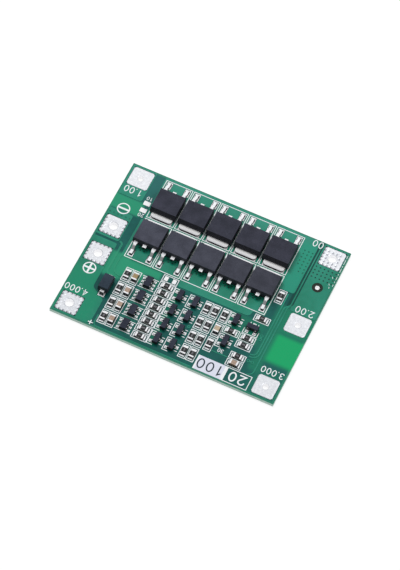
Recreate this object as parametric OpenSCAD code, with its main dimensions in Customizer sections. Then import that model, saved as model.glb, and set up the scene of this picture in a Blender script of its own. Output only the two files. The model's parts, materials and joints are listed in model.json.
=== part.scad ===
// Battery management board for a pack of four cells in series. A green circuit
// board carries ten power transistors in two rows, four equal channels of small
// parts that watch one cell each, and seven soldering terminals along its two
// short edges.
//
// X runs along the board, Y away from its front edge and Z up. The origin is the
// middle of the underside, at the lowest faces, which are the bottom pads.

/* [Board] */
// Length of the board
board_l = 56; // [56:0.5:64]
// Width of the board
board_w = 45; // [45:0.5:54]
// Thickness of the bare laminate
board_t = 1; // [0.8:0.1:2]
// Thickness of each copper layer with the mask that coats it
copper_t = 0.07; // [0.04:0.01:0.08]
// Bare margin between the copper and the edge of the board
copper_margin = 0.3; // [0.2:0.05:0.5]
// Thickness of the white print
print_t = 0.03; // [0.02:0.01:0.05]
// Width of a printed line
print_line = 0.17; // [0.12:0.01:0.22]
// Diameter of the tooling hole
tooling_d = 1.1; // [0.9:0.1:2]
// Width of the bare ring round the tooling hole
tooling_ring = 0.75; // [0.2:0.05:0.9]

/* [Terminals] */
// Side of a soldering terminal
pad_s = 5.25; // [4.6:0.05:5.6]
// Chamfer at the corners of a terminal
pad_chamfer = 0.4; // [0.2:0.05:0.8]
// Thickness of a tinned terminal plate
pad_t = 0.1; // [0.09:0.01:0.2]
// Distance from a terminal to the edges of the board
pad_edge = 0.75; // [0.5:0.05:1]
// Wire hole of the four power terminals
power_hole_d = 2.1; // [1.6:0.1:2.4]
// Wire hole of the three sense terminals
sense_hole_d = 1.5; // [1:0.1:2.2]
// Wall of the tinned barrel in each wire hole
barrel_t = 0.16; // [0.15:0.01:0.2]
// Distance between the two output terminals
output_pitch = 8.3; // [7.6:0.1:8.8]
// Diameter of a via mouth
via_d = 0.4; // [0.3:0.05:0.5]
// Distance between vias
via_pitch = 1; // [0.9:0.05:1.05]
// Depth of the dimple that a filled via leaves in a terminal
via_dimple = 0.06; // [0.03:0.01:0.08]

/* [Power transistors] */
// Transistors in each of the two rows
fet_columns = 5; // [2:1:5]
// Distance between neighbours in a row
fet_pitch = 7.18; // [7:0.02:7.3]
// Width of the moulded body
fet_w = 6.6; // [6.2:0.05:6.7]
// Length of the moulded body
fet_l = 6.2; // [5.8:0.05:6.3]
// Height of the top face over the lands
fet_h = 2.3; // [2:0.05:2.6]
// Thickness of the lead frame
fet_metal_t = 0.5; // [0.4:0.05:0.6]
// Width of the heat tab
fet_tab_w = 5.3; // [4.8:0.05:5.5]
// Length of heat tab that stands out of the body
fet_tab_out = 1.15; // [0.8:0.05:1.2]
// Width of a lead
fet_lead_w = 0.7; // [0.6:0.05:0.85]
// Width of a lead's shoulder beside the body, and of the cut middle lead
fet_shoulder_w = 0.92; // [0.88:0.02:1.1]
// Distance from the middle lead to an outer lead
fet_lead_pitch = 2.32; // [2.2:0.02:2.4]
// Reach of the outer leads from the body
fet_lead_reach = 3.05; // [2.8:0.05:3.1]
// Length of the cut middle lead
fet_stub = 0.8; // [0.5:0.05:1]

/* [Chip parts] */
// Length of a chip resistor or capacitor
chip_l = 2; // [1.8:0.05:2.2]
// Width of a chip resistor or capacitor
chip_w = 1.25; // [1.1:0.05:1.4]
// Height of a chip resistor
resistor_h = 0.55; // [0.45:0.05:0.7]
// Height of a chip capacitor
capacitor_h = 0.85; // [0.7:0.05:1.25]
// Length of the metal wrap on top of each chip end
chip_wrap = 0.4; // [0.25:0.05:0.5]
// Thickness of that wrap
chip_wrap_t = 0.04; // [0.03:0.01:0.06]

/* [Small moulded parts] */
// Length of the three-lead and six-lead bodies
sot_l = 2.9; // [2.7:0.05:3.1]
// Width of a three-lead body
sot3_w = 1.3; // [1.2:0.05:1.5]
// Width of a six-lead body
sot6_w = 1.6; // [1.5:0.05:1.75]
// Height of the small moulded bodies over the lands
sot_h = 1.1; // [0.9:0.05:1.3]
// Distance between neighbouring leads
sot_pitch = 0.95; // [0.9:0.01:1]
// Width of a lead
sot_lead_w = 0.4; // [0.3:0.05:0.45]
// Thickness of a lead
sot_lead_t = 0.15; // [0.1:0.01:0.18]
// Reach of a lead from the body
sot_reach = 0.6; // [0.5:0.05:0.7]
// Length of the diode body
diode_l = 4.1; // [3.9:0.1:4.3]
// Width of the diode body
diode_w = 2.6; // [2.4:0.1:2.8]
// Height of the diode over the lands
diode_h = 2.1; // [1.8:0.1:2.4]

/* [Channels] */
// Monitoring channels, one for each cell
channel_count = 4; // [3:1:4]
// Distance between channels
channel_pitch = 4.2; // [4.1:0.02:4.26]
// Free board beside a chip, inside its printed frame
cell_side = 0.34; // [0.3:0.01:0.36]
// Free board past the ends of a chip, inside its printed frame
cell_end = 0.95; // [0.9:0.01:0.98]

/* [Hidden] */
$fn = 32;
board_back = board_w / 2;
board_right = board_l / 2;
board_z = pad_t;
top_z = board_z + board_t;
land_t = 0.08;
land_z = top_z + land_t;
print_copper_z = top_z + copper_t;
copper_x = board_right - copper_margin;
copper_y = board_back - copper_margin;
gap = 0.1;

// Terminals: [x, y, wire hole, has via grid]
pad_x = board_right - pad_edge - pad_s / 2;
pad_y = board_back - pad_edge - pad_s / 2;
output_y = 0.1;
sense_y = -1;
barrel_clear = 0.02;
tap_0 = [pad_x, pad_y, power_hole_d, true];
tap_1 = [-pad_x, pad_y, sense_hole_d, false];
tap_2 = [pad_x, sense_y, sense_hole_d, false];
tap_3 = [pad_x, -pad_y, sense_hole_d, false];
tap_4 = [-pad_x, -pad_y, power_hole_d, true];
output_minus = [-pad_x, output_y + output_pitch / 2, power_hole_d, true];
output_plus = [-pad_x, output_y - output_pitch / 2, power_hole_d, true];
terminals = [tap_0, tap_1, tap_2, tap_3, tap_4, output_minus, output_plus];
tooling_at = [pad_x, 10.35];

// Edges of the pours: beside the terminals, and round the two clear windows
pour_x = pad_x - pad_s / 2 - 0.3;
left_window = [output_minus.y + 4.65, output_minus.y + 9.05];
right_window = [pad_s / 2 - pad_y + 2.7, sense_y - pad_s / 2 - 0.6];

// Power transistors: two rows, tab to tab on both sides of one line
fet_mid = [-1.14, 9.9];
fet_row_gap = 0.9;
fet_row = fet_row_gap / 2 + fet_tab_out + fet_l / 2;
fet_land_out = 0.5;
fet_land_end = fet_l / 2 + fet_lead_reach + fet_land_out;
fet_print_in = 0.24;
fet_print_mid = fet_mid.y - 0.03;
fet_print_low = fet_mid.y - fet_row - fet_land_end - 0.5;
fet_print_high = fet_mid.y + fet_row + fet_land_end + 0.25;
fet_draft = 6;
fet_tab_draft = 13;
fet_part_h = 1.05;
fet_standoff = 0.05;
fet_tab_in = 1.55;
fet_foot = 1;
fet_bend = 0.55;
fet_slope = 40;
fet_inside = 0.9;
fet_shoulder = 0.7;
fet_tab_corner = 0.7;
fet_land_w = 1.35;
fet_land_l = 2;
fet_frame_w = 6.75;
fet_land_front = 0.08;
fet_places = [
    for (row = [1, -1], i = [0 : fet_columns - 1])
        [fet_mid.x + (i - (fet_columns - 1) / 2) * fet_pitch, fet_mid.y + row * fet_row, row > 0 ? 0 : 180]
];
fet_total = len(fet_places);

// Columns of the channel field, from left to right
cell_across = chip_w + 2 * cell_side;
cell_along = chip_l + 2 * cell_end;
sot3_span = sot3_w + 2 * sot_reach;
sot6_span = sot6_w + 2 * sot_reach;
sot6_side = 0.75;
sot3_side = 0.68;
sot6_cell = sot6_span + 2 * sot6_side;
sot3_cell = sot3_span + 2 * sot3_side;
narrow_gap = 0.1;
wide_gap = 0.2;
delay_gap = 0.42;
driver_gap = 0.12;
field_left = -16.83;
field_top = -4.18;
filter_left = field_left + cell_across - narrow_gap;
monitor_left = filter_left + cell_across + wide_gap;
bleed_left = monitor_left + sot6_cell + narrow_gap;
balance_left = bleed_left + cell_along;
shift_left = balance_left + sot3_cell;
gate_left = shift_left + sot3_cell + narrow_gap;
gate_pitch = cell_across + narrow_gap;
delay_left = gate_left + 2 * gate_pitch - narrow_gap + delay_gap;
driver_left = delay_left + cell_across + driver_gap;
latch_left = driver_left + cell_along + wide_gap;
supply_x = field_left + cell_across / 2 - wide_gap;
filter_x = filter_left + cell_across / 2;
monitor_x = monitor_left + sot6_cell / 2;
bleed_x = bleed_left + cell_along / 2;
balance_x = balance_left + sot3_cell / 2;
shift_x = shift_left + sot3_cell / 2;
delay_x = delay_left + cell_across / 2;
driver_x = driver_left + cell_along / 2;
latch_x = latch_left + cell_along / 2;
channels = [for (i = [0 : channel_count - 1]) field_top - (i + 0.5) * channel_pitch];
field_bottom = field_top - channel_count * channel_pitch;
sot_frame = sot_l / 2 + 0.32;

// Height of a half-channel row: row 1 is the middle of the first channel
function row_y(row) = field_top - row * channel_pitch / 2;

// Ringed vias, alone or in pairs with a short track between them
via_ring_d = 0.8;
ringed_links = [
    [[latch_x + 2.72, row_y(1.5)], [latch_x + 2.72, row_y(2)]],
    [[latch_x + 2.6, row_y(5)], [latch_x + 3.6, row_y(5)]],
    [[shift_x + sot3_span / 2, row_y(4)]]
];

// Places of the small parts: [x, y, turn]
supply_places = [for (y = channels) [supply_x, y, 90]];
bleed_places = [for (y = channels, side = [1, -1]) [bleed_x, y + side * channel_pitch / 4, 0]];
gate_places = [for (y = channels, i = [0, 1]) [gate_left + cell_across / 2 + i * gate_pitch, y, 90]];
control_places = [
    [delay_x, row_y(1), 90],
    [delay_x, row_y(5), 90],
    [driver_x, row_y(2.5), 0],
    [latch_x + cell_across / 2, row_y(-0.4), 0],
    [latch_x, row_y(2.55), 0],
    [latch_x, row_y(3.55), 0],
    [latch_x, row_y(5.1), 0],
    [latch_x + cell_across * 1.2, row_y(-4), 90]
];
capacitor_places = concat(
    [for (y = channels) [filter_x, y, 90]],
    [[delay_x, row_y(3), 90], [latch_x, row_y(6.1), 0]]
);
monitor_places = [for (y = channels) [monitor_x, y, 0]];
balance_places = [for (y = channels) [balance_x, y, 0]];
shift_places = [for (y = channels) [shift_x, y, 0]];
control_transistor_places = [
    [driver_x - narrow_gap, row_y(1), 0],
    [driver_x - narrow_gap, row_y(4), 0],
    [latch_x, row_y(1.12), 90]
];
diode_place = [field_left - 2.25, -11.25, 90];
diode_track_w = 0.5;
track_w = 0.3;
empty_chip_place = [bleed_x, field_top + cell_across / 2, 0];
empty_link_place = [1.4 - pour_x, 12.4, 90];
rating_left = 7.65;
rating_low = 0.45 - board_back;
rating_h = 3.87;
link_land = [1.2, 1.65];
link_span = 2.1;

// Leads: [bend radius, slope of the middle stretch, foot]
sot_lead = [0.14, 75, 0.28];
sot_exit = 0.6;
sot_draft = 8;
sot_standoff = 0.08;
sot_inside = 0.25;
sot3_land_w = 0.8;
sot6_land_w = 0.6;
sot_land_l = 0.85;
// The diode's leads fold down and in under its body
diode_lead_w = 1;
diode_lead_t = 0.2;
diode_lead_out = 0.5;
diode_lead_bend = 0.22;
diode_foot = 0.9;
diode_exit = 1;
diode_standoff = 0.26;
diode_draft = 6;
diode_end = diode_l / 2 + diode_lead_out + diode_lead_t / 2;
diode_land = [1.5, 1.65];
diode_land_out = 0.42;

// Lands of a chip part reach from under its end to past it
chip_land_in = 0.45;
chip_land_out = 0.5;
chip_land_w = chip_w - 0.05;
arc_steps = 4;

monitor_names = [for (i = [1 : channel_count]) str("monitor_chip_", i)];
monitor_lead_names = [for (i = [1 : channel_count]) str("monitor_chip_leads_", i)];
fet_body_names = [for (i = [1 : fet_total]) str("mosfet_body_", i)];
fet_frame_names = [for (i = [1 : fet_total]) str("mosfet_leadframe_", i)];

function xy(p) = [p[0], p[1]];
function unit(v) = v / norm(v);
function turn(a, b) = (b - a + 540) % 360 - 180;

// Arc of radius here[2] in the corner at here, between two straight runs
function corner(prev, here, next) =
    here[2] == 0 ? [xy(here)] :
    let (
        a = unit(xy(prev) - xy(here)),
        b = unit(xy(next) - xy(here)),
        half = acos(a * b) / 2,
        centre = xy(here) + unit(a + b) * here[2] / sin(half),
        start = xy(here) + a * here[2] / tan(half) - centre,
        end = xy(here) + b * here[2] / tan(half) - centre,
        a0 = atan2(start.y, start.x),
        sweep = turn(a0, atan2(end.y, end.x))
    )
    [
        for (k = [0 : arc_steps])
            centre + here[2] * [cos(a0 + sweep * k / arc_steps), sin(a0 + sweep * k / arc_steps)]
    ];

// Closed outline through points that are [x, y, corner radius]
function rounded(points) =
    let (n = len(points))
    [for (i = [0 : n - 1]) each corner(points[(i + n - 1) % n], points[i], points[(i + 1) % n])];

// Open line through such points, its two ends left as they are
function rounded_line(points) =
    let (n = len(points))
    [
        xy(points[0]),
        for (i = [1 : n - 2]) each corner(points[i - 1], points[i], points[i + 1]),
        xy(points[n - 1])
    ];

// The same line moved sideways by d
function beside(line, d) =
    let (n = len(line))
    [
        for (i = [0 : n - 1])
            let (
                before = unit(line[max(i, 1)] - line[max(i, 1) - 1]),
                after = unit(line[min(i + 1, n - 1)] - line[min(i + 1, n - 1) - 1]),
                normal = unit([-before.y - after.y, before.x + after.x])
            )
            line[i] + normal * d / (normal * [-before.y, before.x])
    ];

function reversed(list) = [for (i = [len(list) - 1 : -1 : 0]) list[i]];

// Points of an arc about c, from angle a to angle b
function arc(c, r, a, b) =
    [for (k = [0 : arc_steps]) c + r * [cos(a + (b - a) * k / arc_steps), sin(a + (b - a) * k / arc_steps)]];

// Side view of a formed lead: out at height exit, down a slope, along its foot.
// It starts inside the body and ends at reach. form is [bend, slope, foot].
function gull_wing(exit, reach, t, form, inside) =
    let (
        r = form[0],
        slope = form[1],
        drop = exit - t / 2,
        ramp = (drop - 2 * r * (1 - cos(slope))) / sin(slope),
        run = 2 * r * sin(slope) + ramp * cos(slope),
        upper = [reach - form[2] - run, exit - r],
        lower = [reach - form[2], t / 2 + r]
    )
    concat(
        [[-inside, exit - t / 2], [-inside, exit + t / 2]],
        arc(upper, r + t / 2, 90, 90 - slope),
        arc(lower, r - t / 2, 270 - slope, 270),
        [[reach, t], [reach, 0]],
        arc(lower, r + t / 2, 270, 270 - slope),
        arc(upper, r - t / 2, 90 - slope, 90)
    );

module track(points, width) {
    line = rounded_line(points);
    polygon(concat(beside(line, width / 2), reversed(beside(line, -width / 2))));
}

module chamfered_square(side, chamfer) {
    h = side / 2;
    c = h - chamfer;
    polygon([[-c, -h], [c, -h], [h, -c], [h, c], [c, h], [-c, h], [-h, c], [-h, -c]]);
}

module frame(w, h) {
    difference() {
        square([w + print_line, h + print_line], center = true);
        square([w - print_line, h - print_line], center = true);
    }
}

module on(places, z) {
    for (p = places)
        translate([p[0], p[1], z])
            rotate([0, 0, p[2]])
                children();
}

module flat_on(places) {
    for (p = places)
        translate([p[0], p[1]])
            rotate(p[2])
                children();
}

module mirrored_x() {
    children();
    mirror([1, 0, 0])
        children();
}

// Side view pulled out to a width, along the local X axis or the local Y axis
module pulled_x(width) {
    translate([-width / 2, 0, 0])
        rotate([90, 0, 90])
            linear_extrude(width)
                children();
}

module pulled_y(width) {
    translate([0, width / 2, 0])
        rotate([90, 0, 0])
            linear_extrude(width)
                children();
}

// Moulded body with sides that slope away from its parting line. The upper part
// of its front side may slope more.
module moulded(w, l, h, bottom, part_h, draft, front_draft) {
    up = (h - part_h) * tan(draft);
    front_up = (h - part_h) * tan(front_draft);
    down = (part_h - bottom) * tan(draft);
    intersection() {
        pulled_y(l + 1)
            moulded_side(w / 2, h, bottom, part_h, up, up, down);
        pulled_x(w + 1)
            moulded_side(l / 2, h, bottom, part_h, up, front_up, down);
    }
}

module moulded_side(half, h, bottom, part_h, up, front_up, down) {
    polygon([
        [down - half, bottom], [half - down, bottom], [half, part_h],
        [half - up, h], [front_up - half, h], [-half, part_h]
    ]);
}

module circuit_board() {
    color([0.12, 0.45, 0.33])
        difference() {
            translate([-board_l / 2, -board_w / 2, board_z])
                cube([board_l, board_w, board_t]);
            for (p = terminals)
                translate([p[0], p[1], 0])
                    cylinder(d = p[2] + 2 * (barrel_t + barrel_clear), h = top_z + 1);
            translate([tooling_at.x, tooling_at.y, 0])
                cylinder(d = tooling_d, h = top_z + 1);
        }
}

// Soldering terminal: a plate on each face and a plated barrel between them
module terminal(p) {
    color([0.85, 0.86, 0.88])
        translate([p[0], p[1], 0])
            difference() {
                union() {
                    linear_extrude(pad_t)
                        chamfered_square(pad_s, pad_chamfer);
                    translate([0, 0, top_z])
                        linear_extrude(pad_t)
                            chamfered_square(pad_s, pad_chamfer);
                    cylinder(d = p[2] + 2 * barrel_t, h = top_z + pad_t / 2);
                }
                translate([0, 0, -1])
                    cylinder(d = p[2], h = top_z + pad_t + 2);
                if (p[3])
                    via_dimples(p[2]);
            }
}

// Grid of via dimples, whose outer ones notch the rim of the plate right through
module via_dimples(hole_d) {
    n = floor(pad_s / via_pitch);
    for (i = [0 : n], j = [0 : n]) {
        x = (i - n / 2) * via_pitch;
        y = (j - n / 2) * via_pitch;
        at_rim = max(abs(x), abs(y)) + via_d / 2 > pad_s / 2;
        if (norm([x, y]) > hole_d / 2 + via_d / 2 + gap)
            translate([x, y, top_z + (at_rim ? -gap : pad_t - via_dimple)])
                cylinder(d = via_d, h = 1, $fn = 16);
    }
}

module via_row(from, count, step) {
    for (i = [0 : count - 1])
        translate(from + i * step)
            circle(d = via_d, $fn = 16);
}

// Vias that stitch the two copper layers together. Those beside a terminal carry
// on the grid of its dimples.
module stitching_vias() {
    across = [via_pitch, 0];
    count = floor(pad_s / via_pitch) + 1;
    reach = (count - 1) / 2 * via_pitch;
    for (row = [1 : 4])
        via_row([tap_0.x - reach, tap_0.y - reach - row * via_pitch], count, across);
    via_row([output_minus.x - reach, output_minus.y + reach + via_pitch], count, across);
    for (row = [0 : 6])
        via_row([pour_x - (row < 2 ? 2.75 : 3.75), tap_0.y - 6.75 + row * via_pitch], row < 2 ? 2 : 3, across);
    for (p = fet_places)
        if (p[2] == 180)
            for (row = [0, 1])
                via_row([p[0] - 1.25 + row * via_pitch / 2, p[1] - 3.5 - row * 0.6], 3 - row, across);
}

// Openings in the copper for the terminals, the tooling hole and the vias
module copper_openings() {
    for (p = terminals)
        translate([p[0], p[1]])
            square(pad_s + 2 * gap, center = true);
    translate(tooling_at)
        circle(d = tooling_d + 2 * tooling_ring);
    stitching_vias();
    for (link = ringed_links, end = link)
        translate(end)
            circle(d = via_d, $fn = 16);
}

module left_pours() {
    split = output_y + 0.5;
    half_split = 0.3;
    diode_back = diode_place.y + diode_end + diode_land_out + gap + diode_track_w / 2 - 0.05;
    polygon(rounded([
        [-copper_x, copper_y, 0.2], [-pour_x, copper_y, 0.4],
        [-pour_x, left_window[1], 0.6], [-copper_x, left_window[1], 0.2]
    ]));
    polygon(rounded([
        [-copper_x, left_window[0], 0.2], [-pour_x, left_window[0], 0.5],
        [-pour_x, split + half_split, 0.5], [-copper_x, split + half_split, 0.2]
    ]));
    polygon(rounded([
        [-copper_x, split - half_split, 0.2], [-pour_x, split - half_split, 0.5],
        [-pour_x, diode_place.y - 1.5, 1.2], [field_left - 1.27, diode_place.y - 3.6, 1.2],
        [field_left - 1.27, -copper_y, 1.4], [-copper_x, -copper_y, 0.2]
    ]));
    track([
        [0.2 - pour_x, split + half_split + diode_track_w / 2, 0], [1 - pour_x, split + half_split, 0.7],
        [1 - pour_x, diode_back, 0.8], [diode_place.x + 0.4, diode_back, 0]
    ], diode_track_w);
}

// Copper under the power transistors, with its lip round the channel field
module switch_pour() {
    step = left_window[0] + 0.2;
    low = max(fet_print_low - 0.2, field_top + cell_across + 0.03);
    right = pour_x - 1.2;
    notch = row_y(-4) + cell_along / 2 + gap;
    lip = latch_x + 1.1;
    polygon(rounded([
        [2.4 - pour_x, copper_y, 0.3], [right, copper_y, 0.4], [right, notch, 0.6], [lip, notch, 0.2],
        [lip, low, 0.3], [latch_left + 0.1, low, 0.4], [latch_left + 0.1, field_top + 0.3, 1.2],
        [balance_left + 0.2, field_top + 0.3, 0.3], [balance_left + 0.2, low, 0.3],
        [2 - pour_x, low, 0.2], [2 - pour_x, step, 0.2], [2.4 - pour_x, step, 0.2]
    ]));
    track([
        [2.15 - pour_x, low + 0.3, 0], [2.15 - pour_x, row_y(1.5), 1.8], [field_left - 0.4, row_y(1.5), 0]
    ], 0.3);
}

module right_pour() {
    left = pour_x - 0.15;
    low = sense_y + pad_s / 2 + 0.25;
    polygon(rounded([
        [copper_x, copper_y, 0.2], [left, copper_y, 0.4], [left, low + 1.6, 0.8],
        [left - 0.4, low + 0.8, 0.4], [left, low, 0.2], [copper_x, low, 0.2]
    ]));
}

// Long tracks: three on the right that turn in under the channel field one after
// the other, and one along the front edge
module long_tracks() {
    first = pour_x - 2.35;
    middle = first + 0.62;
    last = middle + 0.68;
    bend = sense_y + pad_s / 2 + 1.5;
    front = 0.53 - board_back;
    track([
        [first, row_y(-4.7), 0], [first, row_y(4.15), 1.1], [latch_x + 2.2, row_y(4.15), 0]
    ], track_w);
    track([
        [last + 0.42, copper_y, 0], [last + 0.42, bend, 1], [middle, bend - 1.2, 1],
        [middle, row_y(4.45), 1.5], [latch_x + 2.2, row_y(4.45), 0]
    ], track_w);
    track([
        [last + 0.5, bend, 0], [last, bend - 1, 0.6], [last, row_y(6.4), 1.3], [last - 1.3, row_y(6.6), 0]
    ], track_w);
    track([
        [field_left - 0.5, field_bottom + 2, 0], [field_left - 0.5, front, 0.8], [rating_left - 0.4, front, 0]
    ], track_w);
    track([[delay_left + cell_across + 0.2, row_y(5.6), 0], [latch_left - 0.1, row_y(5.6), 0]], 0.25);
    for (link = ringed_links) {
        for (end = link)
            translate(end)
                circle(d = via_ring_d);
        hull()
            for (end = link)
                translate(end)
                    circle(d = via_ring_d / 2, $fn = 16);
    }
}

// Part of the left margin where neither face has copper
module left_window_area() {
    translate([-board_right, left_window[0]])
        square([board_right - pour_x, left_window[1] - left_window[0]]);
}

module copper_layer_top() {
    color([0.18, 0.56, 0.42])
        translate([0, 0, top_z])
            linear_extrude(copper_t)
                difference() {
                    union() {
                        left_pours();
                        switch_pour();
                        right_pour();
                        long_tracks();
                    }
                    copper_openings();
                    flat_on(fet_places)
                        fet_lands(gap);
                    flat_on([diode_place])
                        diode_lands(gap);
                }
}

module copper_layer_bottom() {
    edge = board_right + 2;
    color([0.18, 0.56, 0.42])
        translate([0, 0, board_z - copper_t])
            linear_extrude(copper_t)
                difference() {
                    square([2 * copper_x, 2 * copper_y], center = true);
                    copper_openings();
                    polygon(rounded([
                        [pour_x - 0.7, right_window[1], 0.5], [edge, right_window[1], 0],
                        [edge, right_window[0], 0], [pour_x - 0.7, right_window[0], 0.5]
                    ]));
                    polygon(rounded([
                        [-edge, left_window[1], 0], [-pour_x, left_window[1], 0.5],
                        [-pour_x, left_window[0], 0.5], [-edge, left_window[0], 0]
                    ]));
                    polygon(rounded([
                        [2 - pour_x, fet_print_low - 0.5, 0.3], [bleed_left - 0.2, fet_print_low - 0.5, 0.3],
                        [bleed_left - 0.2, row_y(1.4), 0.3], [2 - pour_x, row_y(1.4), 1.8]
                    ]));
                }
}

module fet_boxes() {
    for (p = fet_places) {
        back_row = p[2] == 0;
        low = back_row ? fet_print_mid + fet_print_in : fet_print_low;
        high = back_row ? fet_print_high : fet_print_mid - fet_print_in;
        translate([p[0], (low + high) / 2])
            frame(fet_frame_w, high - low);
    }
}

module circled_sign(vertical_bar) {
    difference() {
        circle(d = 3.15);
        circle(d = 3.15 - 2 * 0.28);
    }
    square([3, 0.45], center = true);
    if (vertical_bar)
        square([0.45, 3], center = true);
}

module minus_sign() {
    translate([-pad_x, output_minus.y + 5.5])
        circled_sign(false);
}

module small_cross() {
    square([1.2, 0.22], center = true);
    square([0.22, 1.2], center = true);
}

module chip_frame() {
    frame(cell_along - 0.2, cell_across - 0.2);
}

// Half frame round a three-lead body: a bracket behind its pair of leads
module sot_bracket() {
    arm = sot3_cell / 2 - sot3_w / 2 + narrow_gap;
    back = -sot3_cell / 2 + narrow_gap;
    for (side = [1, -1])
        translate([back + arm / 2, side * sot_frame])
            square([arm, print_line], center = true);
    translate([back, 0])
        square([print_line, 2 * sot_frame + print_line], center = true);
    for (side = [1, -1])
        translate([sot3_cell / 2 - arm / 2, side * sot_pitch])
            square([arm / 2, print_line], center = true);
}

module monitor_lines() {
    for (side = [1, -1])
        translate([0, side * (sot_l / 2 + narrow_gap)])
            square([sot6_cell - 3 * narrow_gap, print_line], center = true);
}

module rating_field() {
    mid = rating_left + 7.3;
    right = rating_left + 13.35;
    translate([rating_left, rating_low])
        square([mid - rating_left, rating_h]);
    translate([(mid + right) / 2, rating_low + rating_h / 2])
        frame(right - mid - print_line, rating_h - print_line);
}

module legend_print() {
    color("white") {
        translate([0, 0, print_copper_z])
            linear_extrude(print_t) {
                fet_boxes();
                difference() {
                    minus_sign();
                    left_window_area();
                }
                translate([-pad_x, output_plus.y - 4.5])
                    circled_sign(true);
                translate([field_left - 1.27, 0.9 - board_back])
                    small_cross();
            }
        translate([0, 0, top_z])
            linear_extrude(print_t) {
                intersection() {
                    minus_sign();
                    left_window_area();
                }
                flat_on(supply_places)
                    chip_frame();
                flat_on(capacitor_places)
                    chip_frame();
                flat_on(bleed_places)
                    chip_frame();
                flat_on(gate_places)
                    chip_frame();
                flat_on(control_places)
                    chip_frame();
                flat_on([empty_chip_place])
                    chip_frame();
                flat_on(monitor_places)
                    monitor_lines();
                flat_on(balance_places)
                    sot_bracket();
                flat_on(shift_places)
                    sot_bracket();
                flat_on(control_transistor_places)
                    sot_bracket();
                rating_field();
            }
    }
}

module chip_lands() {
    inner = chip_l / 2 - chip_land_in;
    outer = chip_l / 2 + chip_land_out;
    mirrored_x()
        translate([inner, -chip_land_w / 2])
            square([outer - inner, chip_land_w]);
}

module fet_lands(grow) {
    tab_front = fet_l / 2 + fet_tab_out + fet_land_front;
    translate([-fet_tab_w / 2 - gap - grow, -tab_front - grow])
        square([fet_tab_w + 2 * gap + 2 * grow, tab_front + fet_tab_in + 2 * grow]);
    mirrored_x()
        translate([fet_lead_pitch - fet_land_w / 2 - grow, fet_land_end - fet_land_l - grow])
            square([fet_land_w + 2 * grow, fet_land_l + 2 * grow]);
}

module sot_land(span, w) {
    translate([span / 2 - sot_land_l + 0.3, -w / 2])
        square([sot_land_l, w]);
}

module sot3_lands() {
    sot_land(sot3_span, sot3_land_w);
    for (side = [1, -1])
        translate([0, side * sot_pitch])
            mirror([1, 0])
                sot_land(sot3_span, sot3_land_w);
}

module sot6_lands() {
    mirrored_x()
        for (i = [-1 : 1])
            translate([0, i * sot_pitch])
                sot_land(sot6_span, sot6_land_w);
}

module diode_lands(grow) {
    outer = diode_end + diode_land_out + grow;
    mirrored_x()
        translate([outer - diode_land[0] - 2 * grow, -diode_land[1] / 2 - grow])
            square([diode_land[0] + 2 * grow, diode_land[1] + 2 * grow]);
}

module footprint_lands() {
    color([0.88, 0.89, 0.9])
        translate([0, 0, top_z])
            linear_extrude(land_t) {
                flat_on(fet_places)
                    fet_lands(0);
                for (places = [supply_places, capacitor_places, bleed_places, gate_places, control_places])
                    flat_on(places)
                        chip_lands();
                flat_on([empty_chip_place])
                    chip_lands();
                flat_on([empty_link_place])
                    mirrored_x()
                        translate([(link_span - link_land[0]) / 2, -link_land[1] / 2])
                            square(link_land);
                for (places = [balance_places, shift_places, control_transistor_places])
                    flat_on(places)
                        sot3_lands();
                flat_on(monitor_places)
                    sot6_lands();
                flat_on([diode_place])
                    diode_lands(0);
            }
}

// Hollow solder fillet in the corner between a land and an end face at x = 0
module fillet(w, h, width) {
    pulled_y(width)
        polygon(concat(
            [[0, 0]],
            [for (k = [0 : arc_steps]) [w * (1 - sin(90 * k / arc_steps)), h * (1 - cos(90 * k / arc_steps))]]
        ));
}

module chip_fillets(h) {
    mirrored_x()
        translate([chip_l / 2, 0, 0])
            fillet(chip_land_out - gap, h * 0.7, chip_w - 0.15);
}

module fet_fillets() {
    mirrored_x()
        translate([fet_lead_pitch, fet_l / 2 + fet_lead_reach, 0])
            rotate([0, 0, 90])
                fillet(fet_land_out - gap, fet_metal_t * 0.35, fet_lead_w);
    translate([0, -fet_l / 2 - fet_tab_out, 0])
        rotate([0, 0, -90])
            fillet(fet_land_front * 0.75, fet_metal_t * 0.6, fet_tab_w - 2 * fet_tab_corner);
}

module sot_fillet(span) {
    translate([span / 2, 0, 0])
        fillet(0.2, sot_lead_t * 0.9, sot_lead_w);
}

module solder_fillets() {
    color([0.8, 0.81, 0.83]) {
        for (places = [supply_places, bleed_places, gate_places, control_places])
            on(places, land_z)
                chip_fillets(resistor_h);
        on(capacitor_places, land_z)
            chip_fillets(capacitor_h);
        on(fet_places, land_z)
            fet_fillets();
        for (places = [balance_places, shift_places, control_transistor_places])
            on(places, land_z) {
                sot_fillet(sot3_span);
                for (side = [1, -1])
                    translate([0, side * sot_pitch, 0])
                        mirror([1, 0, 0])
                            sot_fillet(sot3_span);
            }
        on(monitor_places, land_z)
            mirrored_x()
                for (i = [-1 : 1])
                    translate([0, i * sot_pitch, 0])
                        sot_fillet(sot6_span);
        on([diode_place], land_z)
            mirrored_x()
                translate([diode_end, 0, 0])
                    fillet(diode_land_out - gap, diode_exit / 4, diode_lead_w);
    }
}

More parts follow.
